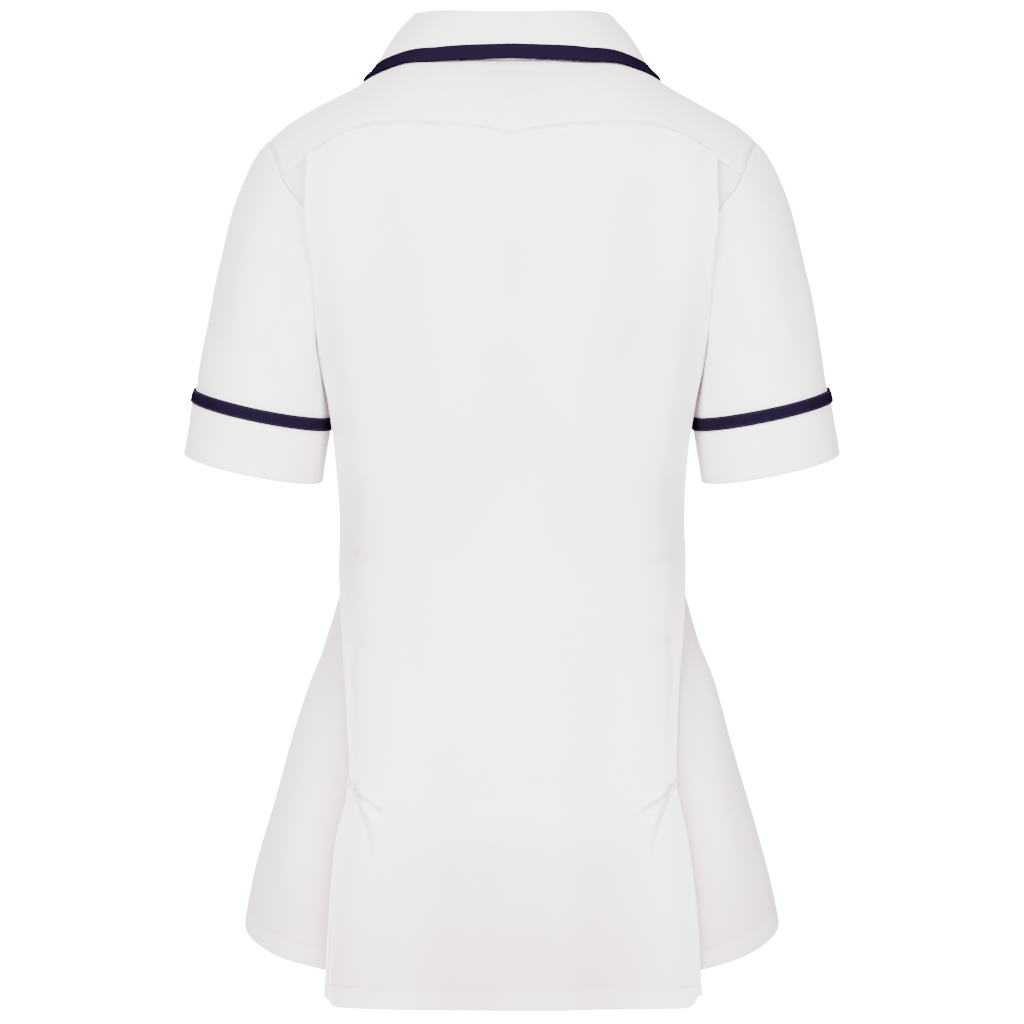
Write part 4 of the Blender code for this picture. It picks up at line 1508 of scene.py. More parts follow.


# An eighth number paints shade along a crease's core, as at the vents' tack lines and the short creases at
# the panel's edges.
BACK_CREASES = creases((
    (132, -536, 90, -565, 2.2, -1.1, 1.0, 1.2), (-132, -536, -90, -565, 2.2, -1.1, -1.0, 1.2),
    (126, -540, 117, -545, 2.6, -1.6, 0.0, 1.4), (-126, -540, -117, -545, 2.6, -1.6, 0.0, 1.4),
    (122, -538, 103, -596, 3.0, -1.5, -1.5, 0.45), (-122, -538, -103, -597, 3.0, -1.5, 1.5, 0.45),
    (118, -541, 96, -584, 7, 2.2), (-118, -541, -96, -585, 7, 2.2),
    (88, -584, -92, -586, 16, 1.5, -20), (96, -552, 60, -632, 20, -1.2, 6),
    (-96, -552, -64, -632, 20, -1.2, -6), (116, -300, 100, -400, 13, -1.4, 4),
    (-116, -296, -98, -404, 13, -1.4, -4), (130, -365, 102, -371, 3.5, -0.8, 1.5, 0.2),
    (-130, -368, -104, -374, 3.5, -0.8, -1.5, 0.15), (128, -434, 106, -438, 3.2, -0.7, 1.0, 0.2),
    (-128, -430, -107, -435, 3.2, -0.7, -1.0, 0.15), (120, -432, 120, -546, 2.6, -0.6, 0.4, 0.3),
    (-120, -432, -120, -546, 2.6, -0.6, -0.4, 0.3), (104, -60, 92, -250, 20, -1.3, 6),
    (-104, -60, -90, -250, 20, -1.3, -6), (50, -70, 44, -300, 26, 0.9, 4),
    (-52, -64, -48, -310, 26, 0.9, -4), (0, -100, 6, -330, 24, -0.8),
    (70, -330, 30, -360, 18, -1.1, 4), (-68, -334, -26, -362, 18, -1.1, -4),
))
VENT_TACK = np.array(((118, -543), (109, -550), (100, -558), (91, -564), (93, -559), (97, -556)))


@dataclass
class BackCentre(Piece):
    """The centre back panel between its two action pleats, with the vents at the hem."""

    columns: int = 17
    rows: int = 26
    fold: Rows = (
        (-40, 150, 3.6), (-80, 151, 6), (-112, 151, 8), (-150, 146, 8.4), (-211, 140.5, 8.4),
        (-240, 134.5, 8.4), (-273, 129.5, 8), (-308, 126.8, 7), (-343, 125.7, 6.8), (-378, 126.2, 6.8),
        (-427, 124.5, 6), (-493, 120.5, 5.4), (-543, 119, 5.2), (-571, 126, 5.2), (-599, 130.2, 5.2),
        (-645, 133.7, 5.2), (-708, 136.8, 5.2),
    )
    roll_radius: float = 1.65
    fold_return: float = 12
    fold_columns: int = 5
    fold_edge: float = 5.4
    tack_rows: tuple[float, float, int] = (18.5, 20.0, 28)
    tack_lift: float = 0.7
    overlap: float = 20
    lift_start: float = 44
    lift_length: float = 26
    hem: float = 16
    hem_row: float = 26.4
    corner_radius: float = 8.6

    def __post_init__(self) -> None:
        """Prepare the line of the pleat's fold."""
        self.fold_x = Track(self.fold, 1)
        self.stand_off = Track(self.fold, 2)
        self.fold_top_x = self.fold_x(self.torso.yoke_seam_z(150))
        self.hem_z = self.torso.back_hem_z

    def lift(self, x: float, z: float) -> float:
        """How far the panel stands off the form."""
        share = (abs(x) - (self.fold_x(z) - self.lift_start)) / self.lift_length
        return self.stand_off(z) * float(smooth(share))

    def fold_end(self, edge: Vector, beside: Vector, z: float, side: int) -> list[Vector]:
        """Points round the rolled fold and back under it.

        Args:
            edge: Last point of the panel's face.
            beside: The point before it.
            z: Height of the fold.
            side: 1 on the left, -1 on the right.

        Returns:
            Points from the fold to the end of its return.
        """
        x = self.fold_x(z)
        under = self.stand_off(z) - 2 * self.roll_radius
        below = self.torso.lifted(side * x, z, under)
        centre, normal = (edge + below) / 2, (edge - below) / 2
        tangent = (edge - beside).normalized()
        tangent = (tangent - normal * tangent.dot(normal) / normal.length_squared).normalized()
        turned = [
            centre + normal * math.cos(a) + tangent * normal.length * math.sin(a)
            for a in (math.radians(60), math.radians(120))
        ]
        lengths = (0.5, self.fold_return / 2, self.fold_return)
        return turned + [self.torso.lifted(side * (x - length), z, under) for length in lengths]

    def grid(self) -> Grid:
        """Rows from the yoke seam to the hem.

        Returns:
            The rows.
        """
        torso = self.torso
        rows = []
        for level in spread(0, 1, self.rows):
            middle = []
            for share in spread(-1, 1, self.columns):
                z = blend(torso.yoke_seam_z(abs(share) * self.fold_top_x), self.hem_z, level)
                x = share * self.fold_x(z)
                middle.append(torso.lifted(x, z, self.lift(x, z)))
            fold_z = blend(torso.yoke_seam_z(self.fold_top_x), self.hem_z, level)
            first = self.fold_end(middle[0], middle[1], fold_z, -1)
            rows.append(first[::-1] + middle + self.fold_end(middle[-1], middle[-2], fold_z, 1))
        return pull_in(rows)

    def round_corners(self, points: Array) -> Array:
        """Raise the points beside the two lower corners so that the corners are round.

        Args:
            points: Array of points in millimetres.

        Returns:
            The raised points.
        """
        radius = self.corner_radius
        edge_x = self.fold_x(self.hem_z) + self.roll_radius
        into = np.clip((np.abs(points[..., 0]) - (edge_x - radius)) / radius, 0, 1)
        near = np.clip(1 - (points[..., 2] - self.hem_z) / (2 * radius), 0, 1)
        shift = np.zeros(points.shape)
        shift[..., 2] = radius * (1 - np.sqrt(1 - into**2)) * near
        return points + shift

    def build(self) -> None:
        """Make the panel, its hem and its stitches."""
        cloth = self.panel(Side.LEFT, self.grid(), -400, *BACK_CREASES)
        cloth.reshape = self.round_corners
        cloth.rolled = True
        last_row, last_column = cloth.rows - 1, cloth.columns - 1

        def from_edge(spots: Spots) -> Array:
            """Columns between each point and the nearer edge."""
            return np.minimum(spots.v, 1 - spots.v) * last_column

        cloth.bands += [
            Band(lambda spots: spots.points[..., 2] - self.hem_z, self.hem),
            SeamDip(660, 300, bottom=False, left=False, right=False),
            # Painted highlight on the rolled fold, and painted shade on the face just inside it.
            FoldShade(from_edge, 4.6, 0.8, -0.2),
            FoldShade(from_edge, 5.5, 0.35, 0.15),
        ]
        hem_at = last_row - self.hem / self.hem_row
        rows = [beside_line(hem_at), (last_row - 0.9, last_row, 14), self.tack_rows]
        columns = [(2.0, self.fold_edge, 18), (self.fold_edge, 7.3, 22)]
        columns += [(last_column - high, last_column - low, count) for low, high, count in columns]
        row, column = fine(last_row, 6, rows, 0.25), fine(last_column, 5, columns)
        self.lay("back_centre", cloth, row, column, self.finishes.panel, "back_centre")
        stitched = [line_on(cloth, hem_at, (self.fold_edge, last_column - self.fold_edge), STITCH_LIFT)]
        steps = np.arange(len(VENT_TACK))
        along = np.linspace(0, steps[-1], 200)
        for side in Side:
            places = self.places_of(side.value * VENT_TACK[:, 0], VENT_TACK[:, 1])
            row, column = (np.interp(along, steps, place) for place in places)
            stitched.append(line_on(cloth, row, column, self.tack_lift))
        self.sew("back_hem_stitches", stitched)

    def places_of(self, x: Array, z: Array) -> tuple[Array, Array]:
        """Row and column places of points of the panel's face.

        Args:
            x: Distances from the middle.
            z: Heights.

        Returns:
            Rows and columns.
        """
        shares = np.array([value / self.fold_x(height) for value, height in zip(x, z)])
        tops = np.array([self.torso.yoke_seam_z(abs(share) * self.fold_top_x) for share in shares])
        rows = (tops - z) / (tops - self.hem_z) * (self.rows - 1)
        return rows, self.fold_columns + (shares + 1) / 2 * (self.columns - 1)


@dataclass
class SideBack(Piece):
    """A side back, from under the pleat to the armhole and the side seam."""

    back: BackCentre
    hem: float = 14
    hem_row: float = 29.2
    dip: float = 2.2
    dip_end_z: float = -125
    fade_rows: int = 5

    def grid(self) -> Grid:
        """Rows from the yoke seam to the hem, on the left.

        Returns:
            The rows.
        """
        torso, back = self.torso, self.back
        corner = torso.armhole_point(torso.yoke_back_step)
        outer = torso.outer_line(torso.yoke_back_step)
        top_x = back.fold_x(corner.z) - back.overlap
        top_z = torso.yoke_seam_z(top_x)
        first_angles = torso.ring_angle(top_x, top_z), torso.ring_angle(corner.x, corner.z)
        hem_z = torso.hem_z(torso.ring_angle(back.fold_x(back.hem_z), back.hem_z), True)
        grid = []
        for row, (outer_angle, outer_z) in enumerate(outer):
            inner_z = blend(top_z, hem_z, row / (len(outer) - 1))
            inner_angle = torso.ring_angle(back.fold_x(inner_z) - back.overlap, inner_z)
            fade = max(1 - row / self.fade_rows, 0)
            line = []
            for c in spread(0, 1, 9):
                angle, z = blend(inner_angle, outer_angle, c), blend(inner_z, outer_z, c)
                if fade > 0:
                    seam_x = blend(top_x, corner.x, c)
                    seam_z = torso.yoke_seam_z(seam_x)
                    angle += (torso.ring_angle(seam_x, seam_z) - blend(*first_angles, c)) * fade
                    z += (seam_z - blend(top_z, corner.z, c)) * fade
                if row == len(outer) - 1:
                    z = torso.hem_z(angle, True)
                dip = self.dip * float(smooth((z - self.dip_end_z) / (top_z - self.dip_end_z))) * (1 - c)
                point = torso.point(angle, z, True)
                line.append(torso.lifted(point.x, z, -dip) if dip > 0 else point)
            grid.append(line)
        return pull_in(grid)

    def past_fold(self, spots: Spots) -> Array:
        """How far each point lies outside the pleat's fold."""
        fold = np.array(self.back.fold)
        return np.abs(spots.points[..., 0]) - np.interp(-spots.points[..., 2], -fold[:, 0], fold[:, 1])

    def build(self, side: Side) -> None:
        """Make one side back.

        Args:
            side: The wearer's left or right.
        """
        cloth = self.panel(side, self.grid(), -400, *creases((
            (150, -420, 168, -640, 16, 2.2, 5), (134, -500, 146, -690, 11, -2.0, 3),
            (132, -330, 146, -520, 9, -1.2, 2),
        ), side.value))
        last = cloth.rows - 1
        hem_at = last - self.hem / self.hem_row
        cloth.bands += [
            Band(lambda spots: (1 - spots.u) * last * self.hem_row, self.hem),
            SeamDip(700, 140, bottom=False, left=False),
            # Painted shade on the side back beside the pleat's fold, where the fold's shadow falls.
            FoldShade(self.past_fold, 2, 3.5, 0.7),
            FoldShade(self.past_fold, 6, 12, 0.25),
        ]
        name = f"side_back_{side.word}"
        column = fine(cloth.columns - 1, 7, edge=0.3)
        self.lay(name, cloth, hem_places(cloth, hem_at), column, self.finishes.flank, "side_back")
        self.sew(f"{name}_stitches", [line_on(cloth, hem_at, (0.2, cloth.columns - 1.0), STITCH_LIFT)])


@dataclass
class Front(Piece):
    """One front, from the open neck and the zip out to the armhole and the side seam."""

    columns: int = 11
    opening_rows: int = 19
    fade_rows: int = 5
    hem: float = 14
    hem_row: float = 30.0

    def opening_levels(self) -> list[float]:
        """Heights down the centre front, from the top of the zip to the hem."""
        return spread(self.torso.opening_top_z, self.torso.hem_z(math.pi / 2, False), self.opening_rows)

    def yoke_seam(self) -> list[tuple[float, float]]:
        """The seam with the yoke.

        Returns:
            Ring angles and heights, from the neck out.
        """
        torso = self.torso
        neck_x, neck_roll = torso.neck_turn(1 + torso.yoke_front_at_neck)
        corner = torso.armhole_point(torso.yoke_front_step)
        corner_roll = torso.hood_turn(corner.x, corner.z, False)
        points = [
            torso.hood_point(blend(neck_x, corner.x, c), blend(neck_roll, corner_roll, c))
            for c in spread(0, 1, self.columns)
        ]
        return [(torso.ring_angle(point.x, point.z), point.z) for point in points]

    def grid(self) -> Grid:
        """Rows from the yoke seam to the hem, on the left.

        Returns:
            The rows.
        """
        torso = self.torso
        outer = torso.outer_line(torso.yoke_front_step)
        neck_rows = len(outer) - self.opening_rows + 1
        neck = [torso.neck_front_point(share) for share in spread(torso.yoke_front_at_neck, 1, neck_rows)]
        inner = [(p.x, p.z) for p in neck] + [(torso.opening_x, z) for z in self.opening_levels()[1:]]
        first = (torso.ring_angle(*inner[0]), inner[0][1], *outer[0])
        seam = self.yoke_seam()
        grid = []
        for row, ((inner_x, inner_z), (outer_angle, outer_z)) in enumerate(zip(inner, outer)):
            inner_angle = torso.ring_angle(inner_x, inner_z)
            fade = max(1 - row / self.fade_rows, 0)
            line = []
            for c, (seam_angle, seam_z) in zip(spread(0, 1, self.columns), seam):
                angle = blend(inner_angle, outer_angle, c)
                angle += (seam_angle - blend(first[0], first[2], c)) * fade
                z = blend(inner_z, outer_z, c) + (seam_z - blend(first[1], first[3], c)) * fade
                if row == len(outer) - 1:
                    z = torso.hem_z(angle, False)
                line.append(torso.point(angle, z, False))
            grid.append(line)
        return pull_in(grid)

    def build(self, side: Side) -> None:
        """Make one front.

        Args:
            side: The wearer's left or right.
        """
        cloth = self.panel(side, self.grid(), -350, *creases((
            (128, -205, 60, -250, 9, -1.2, 4), (118, -320, 70, -345, 8, -1.0, 3),
            (60, -360, 78, -620, 18, 1.6, 4), (110, -420, 140, -640, 15, -1.6, 4),
        ), side.value, False))
        last = cloth.rows - 1
        hem_at = last - self.hem / self.hem_row
        cloth.bands += [
            Band(lambda spots: (1 - spots.u) * last * self.hem_row, self.hem),
            SeamDip(800, 230, bottom=False, left=False),
        ]
        name = f"front_{side.word}"
        column = fine(cloth.columns - 1, 7, [(0, 0.5, 8)], 0.3)
        self.lay(name, cloth, hem_places(cloth, hem_at), column, self.finishes.panel, "front")
        self.sew(f"{name}_stitches", [
            line_on(cloth, hem_at, (0.3, cloth.columns - 1.0), STITCH_LIFT),
            line_on(cloth, (10.2, hem_at), 0.35, STITCH_LIFT, 900),
        ])


@dataclass
class Sleeve(Piece):
    """A sleeve with its turned-up cuff and the braid on the cuff's top edge."""

    tilt_out: float = math.radians(9.5)
    tilt_forward: float = math.radians(6)
    hem_tilt: float = math.radians(12)
    hem_centre: tuple[float, float, float] = (202.2, -9, -302)
    half_width: float = 52.8
    half_depth: float = 66
    cuff: float = 42
    trim: float = 9.5
    start_pull: float = 0.62
    end_pull: float = 0.95
    underarm: float = 2.4
    seam_gap: float = 0.5
    layer: float = 1.6
    trim_out: tuple[float, float, float] = (1.9, 3.2, 3.1)
    trim_wall: float = 1.0
    columns: int = 32
    levels: int = 12
    end_shares: tuple[float, float, float] = (0.33, 0.66, 1.0)
    hang_gain: float = 1.9
    hang_start: float = 0.62
    lean: float = 0.55
    lean_from: float = 5

    def __post_init__(self) -> None:
        """Find the sleeve's directions: down its length, outward and backward."""
        tilt, forward = self.tilt_out, self.tilt_forward
        self.down = Vector((
            math.sin(tilt) * math.cos(forward), -math.sin(forward), -math.cos(tilt) * math.cos(forward),
        ))
        self.outward = Vector((math.cos(self.hem_tilt), 0, math.sin(self.hem_tilt)))
        self.backward = self.outward.cross(self.down).normalized()
        if self.backward.y < 0:
            self.backward = -self.backward

    def ring_point(self, angle: float, above_hem: float, extra: float = 0.0) -> Vector:
        """Point of the straight end.

        Args:
            angle: 0 outside and a quarter turn at the back.
            above_hem: Distance up from the hem.
            extra: Distance out from the sleeve.

        Returns:
            The point.
        """
        centre = Vector(self.hem_centre) - self.down * above_hem
        across = self.outward * math.cos(angle) * (self.half_width + extra)
        return centre + across + self.backward * math.sin(angle) * (self.half_depth + extra)

    def leaving(self, turn: float) -> tuple[Vector, Vector]:
        """Where and which way the sleeve leaves the armhole.

        Args:
            turn: Place round the armhole, from 0 to 1.

        Returns:
            The start and the direction.
        """
        torso = self.torso
        step = turn * len(torso.armhole)
        start = torso.armhole_point(step)
        along = (torso.armhole_point(step + 0.05) - torso.armhole_point(step - 0.05)).normalized()
        nearby = torso.hood_point(start.x - 3, torso.hood_turn(start.x, start.z, start.y >= 0))
        inward = (nearby - start).normalized()
        in_surface = -(inward - along * inward.dot(along)).normalized()
        hang = float(smooth((0.5 - abs(turn - 0.5)) / 0.5 * self.hang_gain - self.hang_start))
        lean = math.copysign(self.lean, start.y) if abs(start.y) > self.lean_from else 0
        start = start + in_surface * (self.seam_gap * (1 - hang))
        start = start + Vector((1, lean, 0)).normalized() * (self.underarm * float(smooth(hang * 1.6)))
        return start, blend(in_surface, self.down, hang).normalized()

    def grid(self) -> Grid:
        """Rings from the armhole to the hem, on the left.

        Returns:
            The rings.
        """
        straight_top = self.cuff + self.trim
        heights = [straight_top * (1 - share) for share in self.end_shares]
        lines = []
        for turn in (j / self.columns for j in range(self.columns)):
            start, away = self.leaving(turn)
            angle = turn * 2 * math.pi
            end = self.ring_point(angle, straight_top)
            reach = (end - start).length
            leave, arrive = away * (reach * self.start_pull), self.down * (reach * self.end_pull)
            line = [curve_point(t, start, leave, end, arrive) for t in spread(0, 1, self.levels)]
            lines.append(line + [self.ring_point(angle, height) for height in heights])
        return [list(ring) for ring in zip(*lines)]

    def tube(self, side: Side, heights: Sequence[float], extras: Sequence[float]) -> Cloth:
        """The sheet of the cuff or the braid.

        Args:
            side: The wearer's left or right.
            heights: Heights of its rings above the hem.
            extras: Their distances out from the sleeve.

        Returns:
            The sheet.
        """
        angles = [2 * math.pi * j / self.columns for j in range(self.columns)]
        grid = [[self.ring_point(a, height, extra) for a in angles] for height, extra in zip(heights, extras)]
        cloth = Cloth(side.turned(grid), (side.value * 198, -5, -290), True)
        cloth.fields.append(Drift(0.3, 22))
        return cloth

    def build(self, side: Side) -> None:
        """Make one sleeve, its cuff and its braid.

        Args:
            side: The wearer's left or right.
        """
        word, finishes = side.word, self.finishes
        columns = np.arange(0, self.columns, 1 / 5)
        sleeve = Cloth(side.turned(self.grid()), (side.value * 198, -5, -200), True)
        sleeve.fields += [Drift(0.5, 34), *creases((
            (176, -60, 206, -215, 13, 1.0, 4), (160, -150, 196, -230, 8, -1.3, 5),
            (158, -190, 190, -245, 6, -0.9, 4), (214, -120, 226, -230, 9, -0.7, 3),
        ), side.value), *creases((
            (176, -60, 200, -200, 12, 1.2, 4), (160, -150, 200, -225, 8, -1.2, 5),
        ), side.value, False)]
        sleeve.bands.append(SeamDip(230, 400, bottom=False, left=False, right=False))
        self.lay(f"sleeve_{word}", sleeve, fine(14, 6, edge=0.3), columns, finishes.panel, "sleeve")
        cuff = self.tube(side, spread(self.cuff + self.trim * 0.5, 0, 4), [self.layer] * 4)
        self.lay(f"cuff_{word}", cuff, fine(3, 10), columns, finishes.hem, "cuff")
        trim = self.tube(side, spread(self.cuff + self.trim, self.cuff, 3), self.trim_out)
        trim.bands.append(Band(lambda spots: np.minimum(spots.u, 1 - spots.u) * self.trim, 0.9, 0.25, 0.0))
        name = f"cuff_trim_{word}"
        self.lay(name, trim, fine(2, 7), columns, finishes.navy, "cuff_trim", Slot.NAVY, self.trim_wall)
        full = np.linspace(0, self.columns, 700)
        self.sew(f"cuff_{word}_stitches", [line_on(cuff, 2.88, full, STITCH_LIFT)])
        self.sew(f"{name}_stitches", [line_on(trim, place, full, 0.55) for place in (0.22, 1.78)], True)


@dataclass
class Collar(Piece):
    """The open collar with its braid; a row of stations runs from the centre back to the front end."""

    stations: Rows = (
        (0.00, 0, 57, 44.5, 0, 66.5, 10.5), (0.45, 49, 47, 46.5, 58, 62, 8.5),
        (0.75, 71, 24, 48.5, 90.5, 48, 2.5), (0.92, 78, 5, 47.5, 109.5, 22, -3),
        (1.03, 77.5, -14, 41.5, 114.5, -9, -8), (1.14, 70, -41, 24, 113.5, -44, -19),
        (1.32, 57, -73, -8, 107, -74, -44), (1.50, 42, -89.5, -42, 88, -88.5, -70),
    )
    front_stations: tuple[float, ...] = (1.02, 1.05, 1.09, 1.14, 1.2, 1.27, 1.35, 1.43, 1.5)
    inside: tuple[float, float, float] = (0, 30, 30)
    roll_half: float = 2.5
    roll_rise: float = 1.6
    seam_lift: float = 0.5
    clearance: float = 3.0
    belly: float = 0.06
    wall: float = 1.6
    trim_start: float = 0.4
    trim_width: float = 9.8
    trim_fold: float = 1.0
    trim_lift: float = 1.6
    trim_wrap: float = 1.3
    trim_wall: float = 1.0
    steep: float = 0.8

    def __post_init__(self) -> None:
        """Prepare the curves through the stations."""
        self.tracks = [Track(self.stations, column) for column in range(1, 7)]

    def clear_of_torso(self, point: Vector) -> Vector:
        """The point, moved off the form where the collar would come too near.

        Args:
            point: A point of the collar.

        Returns:
            The moved point.
        """
        torso = self.torso
        back = point.y >= 0
        share = abs(point.y) / torso.depth_at(point.x, point.z, back)
        moved = point.copy()
        if share < self.steep:
            level = math.sqrt(1 - share**2)
            surface_z = torso.ridge_z(abs(point.x)) - torso.roll(back) * (1 - level)
            moved.z = max(point.z, surface_z + self.clearance / level)
        else:
            reach = abs(torso.surface_y(point.x, point.z, back)) + self.clearance / self.steep
            moved.y = math.copysign(max(abs(point.y), reach), point.y)
        return moved

    def section(self, along: float) -> list[Vector]:
        """Points across one station: up the stand, over the roll, down the fall.

        Args:
            along: Place from the centre back, which is 0, to the front end.

        Returns:
            The points.
        """
        values = [track(along) for track in self.tracks]
        neck = self.torso.neck_point(along)
        outward = Vector((neck.x * 0.4, neck.y, 0)).normalized()
        neck = neck + (Vector((0, 0, 0.8)) + outward * 0.6).normalized() * self.seam_lift
        roll, edge = Vector(values[:3]), Vector(values[3:])
        fall = edge - roll
        across = (fall - (neck - roll)).normalized()
        up = (roll - (neck + edge) / 2).normalized()
        rise = roll - up * self.roll_rise
        inner, outer = rise - across * self.roll_half, rise + across * self.roll_half
        bow = up.cross((edge - neck).cross(up).normalized())
        if bow.dot(edge - neck) < 0:
            bow = -bow
        belly = (bow * 0.6 + up * 0.8) * (self.belly * fall.length)
        points = [blend(neck, inner, 0.5), inner, roll, outer]
        points += [blend(outer, edge, t) + belly * (4 * t * (1 - t)) for t in (0.3, 0.6, 0.85)]
        points.append(edge)
        return [neck] + [self.clear_of_torso(point) for point in points]

    def build(self) -> None:
        """Make the collar, its braid and the braid's stitches."""
        left = [self.section(along) for along in (*spread(0, 1, 14), *self.front_stations)]
        cloth = Cloth(mirrored(left[1:])[::-1] + left, self.inside)
        last_row, last_column = cloth.rows - 1, cloth.columns - 1
        cloth.face_back(last_row / 2, last_column - 0.5)
        cloth.fields.append(Drift(0.25, 24))
        row, column = fine(last_row, 5), fine(last_column, 8, [(last_column - 0.1, last_column, 5)])
        self.lay("collar", cloth, row, column, self.finishes.hem, "collar", wall=self.wall)
        trim = self.strip(cloth)
        width = self.trim_width
        trim.bands.append(Band(lambda spots: np.minimum(spots.v, 1 - spots.v) * width, 0.9, 0.25, 0.0))
        row, column = fine(trim.rows - 1, 3), fine(trim.columns - 1, 3)
        navy = self.finishes.navy
        self.lay("collar_trim", trim, row, column, navy, "collar_trim", Slot.NAVY, self.trim_wall)
        lines = [line_on(trim, (0.2, trim.rows - 1.2), place, 0.55, 900) for place in (4.6, 7.5)]
        self.sew("collar_trim_stitches", lines, True)

    def strip(self, cloth: Cloth) -> Cloth:
        """The narrow sheet of the braid, which lies on the fall and is folded round its edge.

        Args:
            cloth: The collar.

        Returns:
            The strip as a sheet.
        """
        lift, wrap = self.trim_lift, self.trim_wrap
        across = np.linspace(cloth.columns - 1, 3.5, 60)
        distances = self.trim_start + np.linspace(0, self.trim_width - self.trim_fold, 5)
        grid: Grid = []
        for row in np.linspace(0, cloth.rows - 1, (cloth.rows - 1) * 2 + 1):
            points, normals = cloth.moved(np.full(60, row), across, lift)
            run = run_of(points)
            ahead = (points[0] - points[1]) / run[1]
            turned = ((-wrap, -1.6), (-wrap, 0.0), (-wrap * 0.5, 1.2), (lift * 0.5, 1.4))
            line = [points[0] + normals[0] * (out - lift) + ahead * forward for out, forward in turned]
            grid.append([Vector(p) for p in (*line, *along_line(distances, run, points))])
        made = Cloth(grid, self.inside)
        made.face_back((made.rows - 1) / 2, 1.0)
        return made


@dataclass
class Revers(Piece):
    """The lapels on the fronts beside the open neck."""

    roll_shares: tuple[float, float] = (0.54, 0.99)
    top: tuple[float, float] = (82, -81)
    lift: float = 1.8

    def grid(self) -> Grid:
        """Rows of the left lapel.

        Returns:
            The rows.
        """
        torso = self.torso
        grid = []
        for row in spread(0, 1, 8):
            edge = torso.neck_front_point(blend(*self.roll_shares, row))
            outer_x = blend(self.top[0], torso.opening_x + 8, row**0.9)
            outer_z = blend(self.top[1], torso.opening_top_z - 3, row)
            places = [(blend(edge.x, outer_x, c), blend(edge.z, outer_z, c)) for c in spread(0, 1, 6)]
            grid.append([torso.at(x, z, False) for x, z in places])
        return grid

    def build(self, side: Side) -> None:
        """Make one lapel.

        Args:
            side: The wearer's left or right.
        """
        cloth = self.panel(side, self.grid(), -90)
        name = f"revers_{side.word}"
        self.lay(name, cloth, fine(7, 6), fine(5, 8), self.finishes.hem, "revers", lift=self.lift)
        above = self.lift + STITCH_LIFT
        lines = [line_on(cloth, (0.3, 6.5), 4.7, above), line_on(cloth, 0.3, (0.3, 4.7), above)]
        self.sew(f"{name}_stitches", lines)


